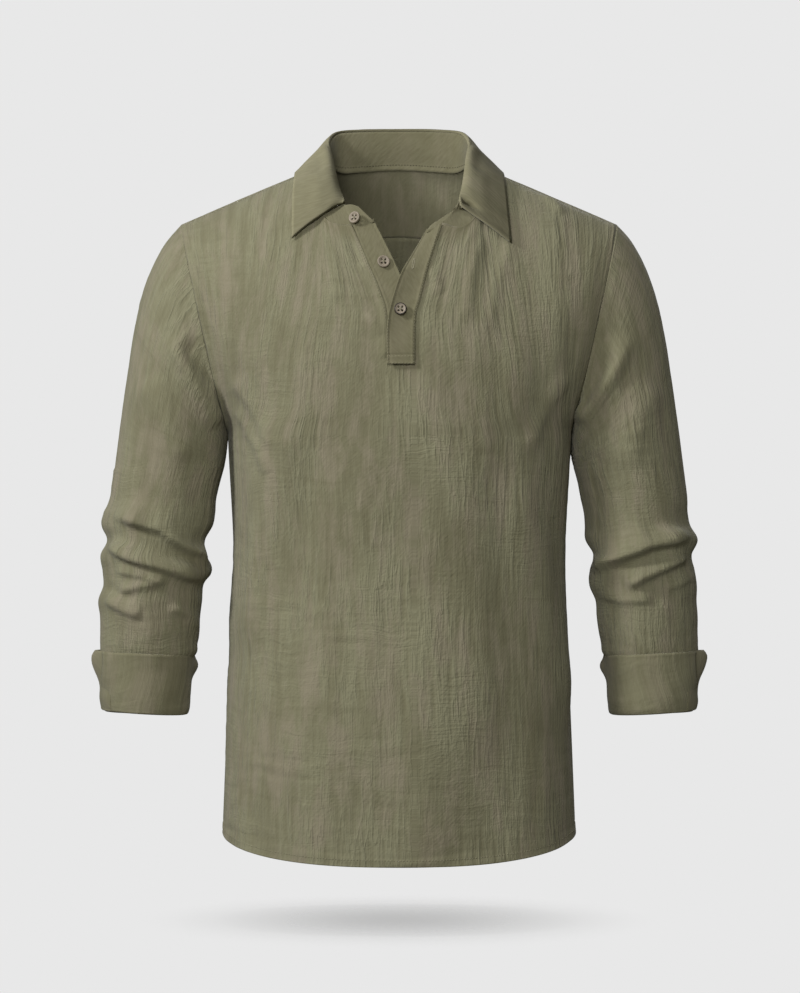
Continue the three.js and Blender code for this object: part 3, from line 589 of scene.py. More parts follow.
def mesh_from(bm, name):
    mesh = bpy.data.meshes.new(name)
    bm.to_mesh(mesh)
    bm.free()
    return mesh


def finish_piece(mesh, name):
    mesh.polygons.foreach_set("use_smooth", [True] * len(mesh.polygons))
    piece = bpy.data.objects.new(name, mesh)
    bpy.context.scene.collection.objects.link(piece)
    return piece


def thicken(piece, wall, even=False):
    solid = piece.modifiers.new("Wall", "SOLIDIFY")
    solid.thickness = wall
    solid.offset = -1
    solid.use_even_offset = even
    return piece


def on_frame(piece, nodes, material=None):
    if material:
        piece.data.materials.append(material)
    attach(piece, "root")
    if nodes:
        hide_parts(*nodes)
    return piece


def from_axis(p):
    return Vector((p.x, p.y, 25 if p.z > -60 else 0))


# ---- Materials ----

def group_socket(tree, name, kind, inward, default=None):
    socket = tree.interface.new_socket(
        name=name, in_out="INPUT" if inward else "OUTPUT", socket_type=kind)
    if default is not None:
        socket.default_value = default


def node(tree, kind, inputs=None, **settings):
    made = tree.nodes.new(kind)
    for key, value in settings.items():
        setattr(made, key, value)
    for key, value in (inputs or {}).items():
        if hasattr(value, "is_output"):
            tree.links.new(value, made.inputs[key])
        else:
            made.inputs[key].default_value = value
    return made


def maths(tree, operation, a, b=0.0, c=0.0, clamped=False):
    made = node(tree, "ShaderNodeMath", {0: a, 1: b, 2: c}, operation=operation,
                use_clamp=clamped)
    return made.outputs[0]


def stretched_noise(tree, place, scale, detail=2.0, rough=0.55, turn=0.0):
    """Noise on the cloth whose pattern is a different length across and along."""
    mapped = node(tree, "ShaderNodeMapping", {
        "Vector": place, "Rotation": (0, 0, turn), "Scale": (1 / scale[0], 1 / scale[1], 1)},
        vector_type="TEXTURE")
    return node(tree, "ShaderNodeTexNoise", {
        "Vector": mapped.outputs[0], "Scale": 1.0, "Detail": detail, "Roughness": rough,
    }).outputs[0]


def crinkled_cotton_group():
    """Colour and height of crinkled cotton over a UV map in metres. The colour has painted shade:
    darker in the crinkles' creases and in broad upright streaks for the folds.
    """
    tree = bpy.data.node_groups.new("Crinkled cotton", "ShaderNodeTree")
    for name, kind, default in (
            ("Place", "NodeSocketVector", None),
            ("Face", "NodeSocketColor", None),
            ("Hollow", "NodeSocketColor", None),
            ("Faded", "NodeSocketColor", None),
            ("Crinkle", "NodeSocketFloat", 1.0),
            ("Cross", "NodeSocketFloat", 0.5),
            ("Calm", "NodeSocketFloat", 0.0),
            ("Grain", "NodeSocketFloat", 0.3),
            ("Mottle", "NodeSocketFloat", 0.7)):
        group_socket(tree, name, kind, True, default)
    group_socket(tree, "Color", "NodeSocketColor", False)
    group_socket(tree, "Height", "NodeSocketFloat", False)
    given = node(tree, "NodeGroupInput").outputs
    wander = node(tree, "ShaderNodeTexNoise", {
        "Vector": given["Place"], "Scale": 16.0, "Detail": 3.0}).outputs[1]
    centred = node(tree, "ShaderNodeVectorMath", {0: wander, 1: (0.5, 0.5, 0.5)},
                   operation="SUBTRACT").outputs[0]
    bent = node(tree, "ShaderNodeVectorMath", {0: centred, 1: (0.005, 0.03, 0.0),
                2: given["Place"]}, operation="MULTIPLY_ADD").outputs[0]
    long = stretched_noise(tree, bent, (95, 9), 3.0, 0.62)
    creased = maths(tree, "ABSOLUTE", maths(tree, "MULTIPLY_ADD", long, 5.0, -2.5))
    line = maths(tree, "SUBTRACT", 1.0, maths(tree, "POWER", maths(
        tree, "MINIMUM", creased, 1.0), 0.5))
    some = node(tree, "ShaderNodeMapRange", {
        "Value": stretched_noise(tree, given["Place"], (14, 8)),
        "From Min": 0.4, "From Max": 0.6, "To Min": 0.25}).outputs[0]
    fine = stretched_noise(tree, bent, (300, 24), 2.0, 0.6)
    cross = stretched_noise(tree, bent, (34, 300), 2.0, 0.6)
    patchy = node(tree, "ShaderNodeMapRange", {
        "Value": stretched_noise(tree, given["Place"], (9, 7)),
        "From Min": 0.42, "From Max": 0.62}).outputs[0]
    grain = stretched_noise(tree, given["Place"], (480, 95), 1.0, 0.5, math.radians(-42))
    upright = maths(tree, "MULTIPLY", maths(
        tree, "ADD", maths(tree, "MULTIPLY", line, some), maths(tree, "MULTIPLY", fine, 0.6)),
        given["Crinkle"])
    level = maths(tree, "MULTIPLY", maths(tree, "MULTIPLY", cross, maths(
        tree, "MULTIPLY_ADD", patchy, 0.8, 0.2)), given["Cross"])
    woven = maths(tree, "MULTIPLY", grain, given["Grain"])
    lively = maths(tree, "MULTIPLY_ADD", given["Calm"], -0.85, 1.0)
    height = maths(tree, "MULTIPLY_ADD", maths(tree, "ADD", upright, level), lively, woven)
    # Painted shade: the lower the crinkle, the nearer its colour comes to the darkened olive.
    raised = node(tree, "ShaderNodeMapRange", {
        "Value": height, "From Min": 0.2, "From Max": 1.1}).outputs[0]
    tone = node(tree, "ShaderNodeMix", {
        0: raised, 6: given["Hollow"], 7: given["Face"]}, data_type="RGBA").outputs[2]
    worn = node(tree, "ShaderNodeMapRange", {
        "Value": stretched_noise(tree, given["Place"], (42, 11), 5.0, 0.68),
        "From Min": 0.47, "From Max": 0.62}).outputs[0]
    mixed = node(tree, "ShaderNodeMix", {
        0: maths(tree, "MULTIPLY", worn, given["Mottle"]), 6: tone, 7: given["Faded"]},
        data_type="RGBA").outputs[2]
    # Painted shade: broad upright streaks darken towards the same olive, standing in for the shade
    # of drape folds.
    for scale, low, high, share in (((44, 6.5), 0.5, 0.68, 0.5), ((11, 52), 0.54, 0.7, 0.35)):
        painted_fold_shade = node(tree, "ShaderNodeMapRange", {
            "Value": stretched_noise(tree, bent, scale, 4.0, 0.62),
            "From Min": low, "From Max": high, "To Max": share}).outputs[0]
        mixed = node(tree, "ShaderNodeMix", {
            0: maths(tree, "MULTIPLY", painted_fold_shade, given["Mottle"]), 6: mixed, 7: given["Hollow"]},
            data_type="RGBA").outputs[2]
    tree.links.new(mixed, node(tree, "NodeGroupOutput", {"Height": height}).inputs["Color"])
    return tree


def cotton_material(name, crinkle_height, cross, grain, bump, mottle_and_fold_shade):
    """Cloth with its own strength of crinkle, cross ripples and grain, and with uneven dye and
    painted fold shade.
    """
    material = bpy.data.materials.new(name)
    material.use_nodes = True
    tree = material.node_tree
    shader = tree.nodes["Principled BSDF"]
    group = bpy.data.node_groups.get("Crinkled cotton") or crinkled_cotton_group()
    place = node(tree, "ShaderNodeUVMap", uv_map="Cloth").outputs[0]
    picked = colours()
    tones = {key.title(): (*getattr(picked, key), 1) for key in ("face", "hollow", "faded")}
    cloth = node(tree, "ShaderNodeGroup", node_tree=group)
    tree.links.new(place, cloth.inputs["Place"])
    pressed = node(tree, "ShaderNodeAttribute", attribute_name="Calm").outputs["Fac"]
    tree.links.new(pressed, cloth.inputs["Calm"])
    levels = {"Crinkle": crinkle_height, "Cross": cross, "Grain": grain, "Mottle": mottle_and_fold_shade}
    for key, value in {**tones, **levels}.items():
        cloth.inputs[key].default_value = value
    tree.links.new(cloth.outputs["Color"], shader.inputs["Base Color"])
    relief = node(tree, "ShaderNodeBump", {
        "Strength": 1.0, "Distance": bump, "Height": cloth.outputs["Height"]})
    tree.links.new(relief.outputs[0], shader.inputs["Normal"])
    shader.inputs["Roughness"].default_value = 0.93
    shader.inputs["Specular IOR Level"].default_value = 0.12
    shader.inputs["Sheen Weight"].default_value = 0.12
    shader.inputs["Sheen Roughness"].default_value = 0.6
    return material


# Cloth by place: strength of the long crinkles, cross ripples and grain, relief in metres, and
# how uneven the dye and the painted fold shade are
COTTONS = {
    "Body cotton": (0.9, 0.75, 0.3, 0.0012, 0.8),
    "Yoke cotton": (0.4, 0.3, 0.35, 0.0009, 0.5),
    "Smooth cotton": (0.06, 0.09, 0.6, 0.0006, 0.2),
    "Cuff cotton": (0.55, 0.5, 0.3, 0.001, 0.5),
}


def cotton(name):
    return bpy.data.materials.get(name) or cotton_material(name, *COTTONS[name])


def plain_material(name, colour, rough, mottled=0.0, scale=400.0):
    """Thread or button: a colour with fine mottling and a slight relief."""
    made = bpy.data.materials.get(name)
    if made:
        return made
    material = bpy.data.materials.new(name)
    material.use_nodes = True
    tree = material.node_tree
    shader = tree.nodes["Principled BSDF"]
    place = node(tree, "ShaderNodeTexCoord").outputs["Object"]
    speckle = node(tree, "ShaderNodeTexNoise", {
        "Vector": place, "Scale": scale, "Detail": 3.0}).outputs[0]
    dark = [c * (1 - mottled) for c in colour]
    tone = node(tree, "ShaderNodeMix", {
        0: speckle, 6: (*dark, 1), 7: (*colour, 1)}, data_type="RGBA").outputs[2]
    tree.links.new(tone, shader.inputs["Base Color"])
    relief = node(tree, "ShaderNodeBump", {"Strength": 0.4, "Distance": 0.0001, "Height": speckle})
    tree.links.new(relief.outputs[0], shader.inputs["Normal"])
    shader.inputs["Roughness"].default_value = rough
    return material


# ---- Front, back and yoke ----

HEM_SIDE_HEIGHT = ARM_FOOT_Z - HEM_SIDE
SLIT_LINE = {-1: stations(UNDER_SEAM), 1: stations(OVER_SEAM)}
# Half of a panel's width as cut, and the reach of its pattern
HALF_CLOTH, HALF_GIRTH = 240, 250


def slit_angle(side, z):
    x = abs(SLIT_LINE[side](max(z, SLIT_FOOT)))
    return math.asin((x / virtual_width(z, False)) ** (ROUNDNESS / 2))


def hem_height(theta):
    c = math.cos(theta)
    return HEM_SIDE - (HEM_FRONT_DROP if c > 0 else -HEM_BACK_DROP) * c


SEAM_REACH = 10


def seam_fade(*gaps):
    """0 at a seam and 1 where its hold on the folds ends, for gaps in millimetres."""
    return ease(min(gaps) / SEAM_REACH)


# Close rows of the grid at the hem, and the depth of the turned hem
HEM_ROWS, HEM_DEEP = 9, 7


def hem_share(j, last, height):
    """Share of a panel's height at a row, with a close row for each millimetre of the hem."""
    if j <= HEM_ROWS:
        return j / height
    return lerp(HEM_ROWS / height, 1, (j - HEM_ROWS) / (last - HEM_ROWS))


def hem_lift(gap):
    """The turned hem is a little proud, with a groove along its stitching."""
    return 0.35 * (1 - ease((gap - HEM_DEEP) / 2)) - 0.6 * math.exp(-((gap - HEM_DEEP) / 1.1) ** 2)


def panel_lift(x, z, spot, seed, fade, folds):
    """Lift of the front or back: placed folds, broad folds and crinkles."""
    across = 0.15 + 0.3 * ease((20 - x) / 90) + 0.25 * ease((-540 - z) / 90)
    crinkles = sizes().crinkle / MM * crinkle(*spot, seed, across)
    return fade * (crinkles + drape(*spot, seed + 20) + 1.4 * fold_lift(x, z, folds))


def make_front():
    half, slit = round(HALF_CLOTH / QUAD), 8
    low, beside, chest = round(438 / QUAD), 28, round(190 / QUAD)
    turn_slit = math.acos((ARM_MID_Z - SLIT_FOOT) / ARM_HALF)
    seam_height = armhole_at(SHOULDER_SEAM)[1]
    turn_seam = math.acos((ARM_MID_Z - seam_height) / ARM_HALF)

    def top(side, k):
        if k < NECK_SHARE:
            x, omega = NECK[side](lerp(1, SEAM_PLACE[side], k / NECK_SHARE))
            return x, shoulder_at(x, omega).z
        t = (k - NECK_SHARE) / (1 - NECK_SHARE)
        x = side * lerp(abs(NECK[side](SEAM_PLACE[side])[0]), armhole_at(SHOULDER_SEAM)[0], t)
        return x, shoulder_at(x, SHOULDER_SEAM).z

    def chest_place(side, u, v):
        def foot(k):
            theta = lerp(slit_angle(side, SLIT_FOOT), side_angle(SLIT_FOOT, False), k)
            return trunk_at(side * theta, SLIT_FOOT).x, SLIT_FOOT

        def inside(k):
            z = lerp(SLIT_FOOT, top(side, 0)[1], k)
            return (SLIT_LINE[side](z) if k < 0.999 else top(side, 0)[0]), z

        def outside(k):
            z = armhole_height(lerp(turn_slit, turn_seam, k))
            return side * armhole_x(z), z
        x, z = patch(foot, lambda k: top(side, k), inside, outside, u, v)
        return body_at(x, z, False)

    def low_place(side, u, j):
        if j <= low:
            guess = lerp(slit_angle(side, HEM_SIDE), RIGHT_ANGLE, u)
            z = lerp(hem_height(guess), ARM_FOOT_Z, hem_share(j, low, HEM_SIDE_HEIGHT))
        else:
            z = armhole_height((j - low) / beside * turn_slit)
        theta = lerp(slit_angle(side, z), side_angle(z, False), u)
        return trunk_at(side * theta, z)

    def calm(i, j):
        u = (half - i) / half if i <= half else max(0, i - half - slit) / half
        fall = (low + beside + chest - j) * QUAD
        return ease(1.25 - fall / 30) * ease((0.52 - u) / 0.12)

    def place(i, j):
        if half < i < half + slit:
            a = low_place(-1, 0, min(j, low + beside))
            b = low_place(1, 0, min(j, low + beside))
            t = (i - half) / slit
            x, z = lerp(a.x, b.x, t), lerp(a.z, b.z, t)
            point, side, u = body_at(x, z, False), 1, 0
            across = x
        else:
            side = -1 if i <= half else 1
            u = (half - i) / half if side < 0 else (i - half - slit) / half
            if j <= low + beside:
                point = low_place(side, u, j)
            else:
                point = chest_place(side, u, (j - low - beside) / chest)
            across = side * lerp(12, HALF_GIRTH, u)
        spot = (across, point.z)
        side_gap = (1 - u) * HALF_GIRTH
        hem_gap = point.z - hem_height(math.atan2(point.x, -point.y))
        fade = seam_fade(side_gap, max(0.0, hem_gap) + 6)
        if j > low + beside:
            slit_gap = u * HALF_GIRTH if side * point.x > 0 else 0
            top_gap = (1 - (j - low - beside) / chest) * 150
            fade *= seam_fade(slit_gap + 2, top_gap) * (1 - 0.8 * calm(i, j))
        lift = panel_lift(point.x, point.z, spot, 3.1, fade, FRONT_FOLDS) + hem_lift(hem_gap)
        return point, spot, lift

    piece = new_sheet("front_panel", 2 * half + slit, low + beside + chest, place, from_axis,
                      keep=lambda i, j: not (half <= i < half + slit and j >= low + beside),
                      relax=90, calm=calm)
    on_frame(thicken(piece, sizes().wall), ["front"], cotton("Body cotton"))
    return piece


def yoke_seam(x):
    """Height of the yoke seam, which drops towards the armholes."""
    return lerp(YOKE_MIDDLE, YOKE_ENDS, min(1.0, abs(x) / armhole_x(YOKE_ENDS)) ** YOKE_CURVE)


def yoke_edge(u):
    """A place along the yoke seam, with places a little closer together at its ends."""
    k = lerp(-1, 1, u)
    crowded = math.sin(k * YOKE_CROWDING) / math.sin(YOKE_CROWDING)
    x = armhole_x(YOKE_ENDS) * lerp(k, crowded, 0.5)
    return x, yoke_seam(x)


def make_back():
    wide = 2 * round(HALF_CLOTH / QUAD)
    low, high = round(445 / QUAD), round(205 / QUAD)
    turn_yoke = math.acos((ARM_MID_Z - YOKE_ENDS) / ARM_HALF)

    def foot(u):
        theta = math.pi - lerp(-1, 1, u) * side_angle(ARM_FOOT_Z, True)
        return trunk_at(theta, ARM_FOOT_Z).x, ARM_FOOT_Z

    def side(s):
        def read(v):
            z = armhole_height(v * turn_yoke)
            return s * armhole_x(z), z
        return read

    def place(i, j):
        u = i / wide
        if j <= low:
            theta = math.pi - lerp(-1, 1, u) * RIGHT_ANGLE
            z = lerp(hem_height(theta), ARM_FOOT_Z, hem_share(j, low, HEM_SIDE_HEIGHT))
            point = trunk_at(theta, z)
        else:
            x, z = patch(foot, yoke_edge, side(-1), side(1), u, (j - low) / high)
            point = body_at(x, z, True)
        spot = (lerp(-1, 1, u) * HALF_GIRTH + 700, point.z)
        hem_gap = point.z - hem_height(math.atan2(point.x, -point.y))
        fade = seam_fade((0.5 - abs(u - 0.5)) * 2 * HALF_GIRTH, max(0.0, hem_gap) + 6,
                         (low + high - j) * QUAD)
        lift = panel_lift(point.x, point.z, spot, 5.7, fade, BACK_FOLDS) + hem_lift(hem_gap)
        return point, spot, lift

    piece = new_sheet("back_panel", wide, low + high, place, from_axis, relax=60)
    on_frame(thicken(piece, sizes().wall), ["back"], cotton("Body cotton"))
    return piece


def make_yoke():
    wide, high = 150, 34
    share = (1 - NECK_SHARE) / 2

    def top(u):
        side, k = (-1, u) if u < 0.5 else (1, 1 - u)
        if k < share:
            neck_x = abs(NECK[side](SEAM_PLACE[side])[0])
            return side * lerp(armhole_at(SHOULDER_SEAM)[0], neck_x, k / share), SHOULDER_SEAM
        return NECK[side](lerp(SEAM_PLACE[side], 0, (k - share) / (0.5 - share)))

    def bottom(u):
        x, z = yoke_edge(u)
        return x, over_angle(x, z, True)
    end_angle = bottom(0)[1]

    def side(s):
        def read(v):
            omega = lerp(end_angle, SHOULDER_SEAM, v)
            return s * armhole_at(omega)[0], omega
        return read

    def place(i, j):
        u, v = i / wide, j / high
        x, omega = patch(bottom, top, side(-1), side(1), u, v)
        point = shoulder_at(x, omega)
        spot = (x + 1400, -omega * 150)
        fade = seam_fade((0.5 - abs(u - 0.5)) * 440, v * 100, (1 - v) * 100)
        return point, spot, fade * (0.5 * sizes().crinkle / MM) * crinkle(*spot, 8.3)

    piece = new_sheet("yoke_panel", wide, high, place,
                      lambda p: Vector((0, p.y, 60)))
    on_frame(thicken(piece, sizes().wall), ["yoke"], cotton("Yoke cotton"))
    return piece


# ---- Sleeves and cuffs ----

# The sleeve's fan round the foot of the armhole: share of the length, height where it ends,
# its depth there, and how far the line from the foot hangs in
FAN_SHARE, FAN_END, FAN_DEPTH, FAN_SLACK = 0.42, -300, 60, 1.2
SLEEVE_END, SLEEVE_GIRTH, SLEEVE_LENGTH = -551, 360, 540


def sleeve_ring(side, t):
    """Outer point, inner point, front depth, back depth and middle y at a share of the length.
    The first part fans round the foot of the armhole; the rest goes down the arm."""
    if t < FAN_SHARE:
        k = t / FAN_SHARE
        cap = spline([(x, 0, z) for x, z in SLEEVE_CAP], 0.5)(k)
        start_x = ARM_LINE[side][0][1]
        foot = Vector((ARM_FOOT_X + 0.3, 0, ARM_FOOT_Z)).lerp(Vector((start_x, 0, FAN_END)), k)
        foot.x -= FAN_SLACK * math.sin(math.pi * k)
        return cap, foot, lerp(ARM_FRONT, FAN_DEPTH, k), lerp(ARM_BACK, FAN_DEPTH, k), 0
    z = lerp(FAN_END, SLEEVE_END, (t - FAN_SHARE) / (1 - FAN_SHARE))
    inner, outer, deep, bend = ARM_READ[side]
    d = deep(z)
    return Vector((outer(z), 0, z)), Vector((inner(z), 0, z)), d, d, bend(z)


ARM_READ = {s: (stations([*ARM_LINE[s], *ARM_TUCK], 1), stations([*ARM_LINE[s], *ARM_TUCK], 2),
                stations(ARM_DEPTH), stations(ARM_BEND)) for s in (-1, 1)}


def make_sleeve(side, node_name):
    around, down = 128, 184

    def place(i, j):
        phi, t = math.pi * (1 + 2 * i / around), j / down
        outer, inner, front, back, y = sleeve_ring(side, t)
        mid, half = (outer + inner) / 2, (outer - inner) / 2
        s = math.sin(phi)
        point = mid + half * math.cos(phi) + Vector((0, y + (front if s < 0 else back) * s, 0))
        spot = (SLEEVE_GIRTH * i / around + 2000 + 500 * side, -t * SLEEVE_LENGTH)
        fade = ease(t * 25) * seam_fade(SLEEVE_GIRTH * min(i, around - i) / around + 2)
        facing = clamp(-s * 1.4, 0, 1) + 0.75 * clamp(s * 1.4, 0, 1)
        shift = 14 if s > 0 else 0
        folds = 1.45 * facing * fold_lift(point.x, point.z + shift, ARM_FOLDS[side])
        tight = 1 - ease((t - 0.86) / 0.03)
        rough = sizes().crinkle / MM * crinkle(*spot, 11.4 + side) + 0.5 * drape(*spot, 4.2 + side)
        point.x *= side
        return point, spot, fade * tight * (folds + rough)

    def outward(p):
        return Vector((p.x - side * 250, p.y + 5, 0))
    piece = new_sheet(f"sleeve_cloth_{node_name}", around, down, place, outward, weld=True)
    on_frame(thicken(piece, sizes().wall), [f"sleeve_{node_name}"], cotton("Body cotton"))
    return piece


def bump(value, middle, half):
    return math.exp(-((value - middle) / half) ** 2)


# Section of a cuff from its inner lip, round the fold and up to its top: offset, height
CUFF_FOLD = [
    (-5.6, -551.2), (-5.6, -553.4), (-4.6, -555), (-2.8, CUFF_FOOT), (-1, -555), (0, -552.6),
    (0.6, -545), (0.6, -535), (0.2, -520), (0, -505), (0, CUFF_TOP),
]
CUFF_GIRTH = 320
# Angles round the arm from the outer side: where the band starts, how far from a full turn it
# ends at its foot and top, the flared end, and the bulge behind the inner side
CUFF_START, CUFF_GAP = -0.78, (0.2, 0.47)
FLARE_AT, FLARE_HALF, FLARE = -0.04, 0.27, 9.5
BULGE_AT, BULGE_HALF, BULGE = math.pi - 0.32, 0.24, 7.5
BULGE_HEIGHT, BULGE_TALL = -505, 10.5


def make_cuff(side, node_name):
    """A band folded back over the sleeve's end. Its ends overlap at the outer side, where the
    one underneath stands away, and it bulges once behind the inner side."""
    around, rows, fold_rows = 150, 46, 15
    path = spline([(offset, z, 0) for offset, z in CUFF_FOLD], 0.5)

    def place(i, j):
        offset, z, _ = path(j / rows)
        share = (z - CUFF_FOOT) / (CUFF_TOP - CUFF_FOOT)
        outer_layer = ease((j - fold_rows) / 6)
        last = 2 * math.pi - lerp(*CUFF_GAP, ease(share / 0.8))
        phi = lerp(CUFF_START, last, i / around)
        end_gap = min(i, around - i) / around * CUFF_GIRTH
        near = ease(1 - end_gap / 45) * outer_layer
        over = lerp(-1.6, 1.7, ease((share - 0.25) / 0.3)) if i > around / 2 else -1.4 * share
        rise = clamp((z - VENT_FOOT) / (CUFF_TOP - VENT_FOOT))
        flare = FLARE * ease(1.25 * rise) * bump(phi, FLARE_AT, FLARE_HALF)
        flare *= 1 - 0.4 * ease((z + 497) / 5)
        bulge = BULGE * bump(phi, BULGE_AT, BULGE_HALF) * bump(z, BULGE_HEIGHT, BULGE_TALL)
        grow = offset + near * over
        in_x, out_x = lerp(*CUFF_IN, share), lerp(*CUFF_OUT, share)
        half, deep = (out_x - in_x) / 2 + grow, CUFF_DEPTH + grow
        point = Vector(((in_x + out_x) / 2 + half * math.cos(phi), CUFF_Y + deep * math.sin(phi),
                        z))
        away = Vector((math.cos(phi), math.sin(phi), 0))
        point += away * (flare + bulge) * outer_layer
        spot = (CUFF_GIRTH * i / around + 3300 + 400 * side, j * 1.6)
        point.z += 1.2 * ripple(spot[0], 0, 60, 1, 3.3 + side) * share
        inward = (0.5 - 0.5 * math.cos(phi)) ** 1.3
        point.z += lerp(6, 3.5, share) - lerp(5, 4.5, share) * inward
        wave = 0.5 * crinkle(*spot, 17.9 + side, 1.1) + 0.9 * ripple(*spot, 46, 13, 6.1 + side)
        rim = 0.5 * bump(z, CUFF_TOP - 1, 1.6) - 0.35 * bump(z, CUFF_TOP - 4.5, 1.4)
        point.x *= side
        return point, spot, (wave * ease(end_gap / 8 + 0.2) + rim) * outer_layer

    def outward(p):
        return Vector((p.x - side * 262, p.y + 10, 0))
    piece = new_sheet(f"cuff_cloth_{node_name}", around, rows, place, outward)
    on_frame(thicken(piece, sizes().doubled), [f"cuff_{node_name}"],
             cotton("Cuff cotton"))
    return piece


# ---- Collar ----

# Length of a tab beyond the leaf, as a share of half the collar
TAB_SHARE = 0.16
# The leaf's fold over the stand: steps out from the stand's face and up from its top
LEAF_FOLD = ((-1.7, 0.6), (-1.4, 2.2), (0.4, 3.3), (2.6, 2.2))
LEAF_SWELL = 9
# How far the stand's foot runs on behind the panels, as a share of its height, and its depth
STAND_TUCK, STAND_SUNK = 0.07, 1.5


def stand_ends(side, k):
    """Foot and top of the stand; k passes 1 on the tab beyond the leaf."""
    if k <= 1:
        x, omega = NECK[side](k)
        return shoulder_at(x, omega), ROLL[side](k)
    first = (shoulder_at(*NECK[side](1)), ROLL[side](1))
    before = (shoulder_at(*NECK[side](0.94)), ROLL[side](0.94))
    tab = [tuple(Vector(p) for p in pair) for pair in TABS[side]]
    pairs = [before, first, *tab]
    t = lerp(1 / 3, 1, (k - 1) / TAB_SHARE)
    return tuple(spline([pair[n] for pair in pairs])(t) for n in (0, 1))


def make_stand():
    wide, high = 150, 16

    def place(i, j):
        reach = (1 + TAB_SHARE) * lerp(-1, 1, i / wide)
        side, k = (-1 if reach < 0 else 1), abs(reach)
        foot, top = stand_ends(side, k)
        v = lerp(-STAND_TUCK, 1, j / high)
        point = foot + (top - foot) * v
        hollow = 1.6 * math.sin(math.pi * clamp(v)) * clamp(2 * (1 - k))
        sunk = STAND_SUNK * (1 - ease((v + STAND_TUCK) * 5))
        spot = (reach * 200 + 4200, v * 36)
        return point, spot, -sunk - hollow + 0.25 * crinkle(*spot, 23.0)

    piece = new_sheet("collar_stand_cloth", wide, high, place,
                      lambda p: Vector((p.x, p.y - 5, 12)))
    on_frame(thicken(piece, sizes().doubled), ["collar_stand"], cotton("Smooth cotton"))
    return piece


def leaf_column(t, rows):
    """Points of the leaf from the inside of the stand's top, over it and down to the edge."""
    side = -1 if t < 0 else 1
    k = abs(t)
    step = 0.004

    def at(s):
        return ROLL[-1 if s < 0 else 1](abs(s))
    top = at(t)
    along = (at(min(1, t + step)) - at(max(-1, t - step))).normalized()
    foot = stand_ends(side, k)[0]
    rise = top - foot
    rise = (rise - along * rise.dot(along)).normalized()
    out = along.cross(rise).normalized()
    if out.dot(Vector((top.x, top.y - 5, 12))) < 0:
        out = -out
    x, omega = LEAF_LINE[side](k)
    edge = shoulder_at(x, omega)
    edge += body_normal(edge) * LEAF_LIFT
    over = [top + out * m + rise * n for m, n in LEAF_FOLD]
    swell = Vector((out.x, out.y - 0.6 * k, 0.6))
    for w in (0.34, 0.67):
        point = over[3].lerp(edge, w) + swell * LEAF_SWELL * w * (1 - w) * (0.35 + 0.5 * k)
        over.append(clear_of_body(point))
    over.append(edge)
    curve = spline(over, 0.5)
    return [curve(r / rows) for r in range(rows + 1)]


def clear_of_body(point):
    """Moves a point forward or back until it stands off the body surface."""
    back = point.y > 0
    if ridge(point.x) <= point.z:
        return point
    surface = body_at(point.x, point.z, back)
    need = LEAF_LIFT / max(0.5, abs(body_normal(surface).y))
    reach = surface.y + (need if back else -need)
    if point.y < reach if back else point.y > reach:
        point.y = reach
    return point


def make_leaf():
    wide, rows = 150, 34
    columns = [leaf_column(lerp(-1, 1, i / wide), rows) for i in range(wide + 1)]

    def place(i, j):
        point = columns[i][j]
        spot = (i / wide * 460 + 5000, j / rows * 60)
        edge = ease(min(i, wide - i) / 4) * ease((rows - j) / 4)
        wave = 0.5 * ripple(spot[0], spot[1], 40, 35, 2.2) + 0.2 * crinkle(*spot, 29.0)
        return point, spot, wave * edge * ease(j / 12)

    piece = new_sheet("collar_leaf_cloth", wide, rows, place,
                      lambda p: Vector((p.x, p.y, 30)))
    on_frame(thicken(piece, sizes().doubled), ["collar_leaf"], cotton("Smooth cotton"))
    return piece


# ---- Placket ----

def placket_column(seam_line, edge_line, width, seam_z, edge_z, lift, curl):
    """Seam point, middle and free edge of a placket band at one height; curl raises the edge."""
    seam_x = stations(seam_line)(seam_z)
    a = body_at(seam_x, seam_z, False)
    n = body_normal(a)
    a = a + n * lift
    x = stations(edge_line)(edge_z)
    reach = min(width, abs(x - seam_x))
    turn = math.sqrt(width * width - reach * reach) * 0.8
    edge = body_at(x, edge_z, False)
    edge += body_normal(edge) * lift
    edge.y += max(0.0, turn - width * 0.35)
    middle = (a + edge) / 2 + n * (1.1 - 1.3 * curl)
    return a, middle, edge + n * curl


def band_relief(seam_gap, edge_gap, foot_gap):
    """Grooves along a band's seam, its folded edge and the box at its foot."""
    seam = 0.5 * bump(seam_gap, 2.6, 1.1) - 1.0 * bump(seam_gap, 0.4, 0.8)
    fold = 0.5 * bump(edge_gap, 0.8, 1.0) - 0.3 * bump(edge_gap, 3.2, 0.9)
    box = 0.45 * bump(foot_gap, 1.0, 1.0) - 0.7 * bump(foot_gap, 9.2, 0.8)
    return seam + fold + box + 0.3 * bump(foot_gap, 7.2, 0.9)


def make_placket(name, node_name, seam_line, edge_line, width, low, high, lift, curl, seed):
    """Two layers of cloth folded into a band; low and high are (seam height, edge height)."""
    wide, tall = 36, 140

    def place(i, j):
        v = j / tall
        a, middle, edge = placket_column(seam_line, edge_line, width, lerp(low[0], high[0], v),
                                         lerp(low[1], high[1], v), lift,
                                         curl * ease(v * 3) * (1 - 0.6 * ease(v * 2 - 1)))
        u = i / wide
        point = a * (1 - u) ** 2 + middle * 2 * u * (1 - u) + edge * u * u
        spot = (seed * 100 + u * width, v * 150)
        inside = ease(min(u, 1 - u) * 5)
        relief = band_relief(u * width, (1 - u) * width, v * (high[1] - low[1]))
        return point, spot, relief + inside * (0.3 * crinkle(*spot, seed) + 0.5 * ripple(
            *spot, 24, 30, seed))

    piece = new_sheet(name, wide, tall, place, lambda p: Vector((0, -1, 0.3)))
    on_frame(thicken(piece, sizes().doubled), [node_name], cotton("Smooth cotton"))
    return piece


# ---- Buttons ----

# Shares of a button's radius: place and radius of its holes, and its rim, where the fastened
# button's painted shade starts
HOLE_PLACE, HOLE_RADIUS, RIM_SHADE_START = 0.29, 0.17, 0.86


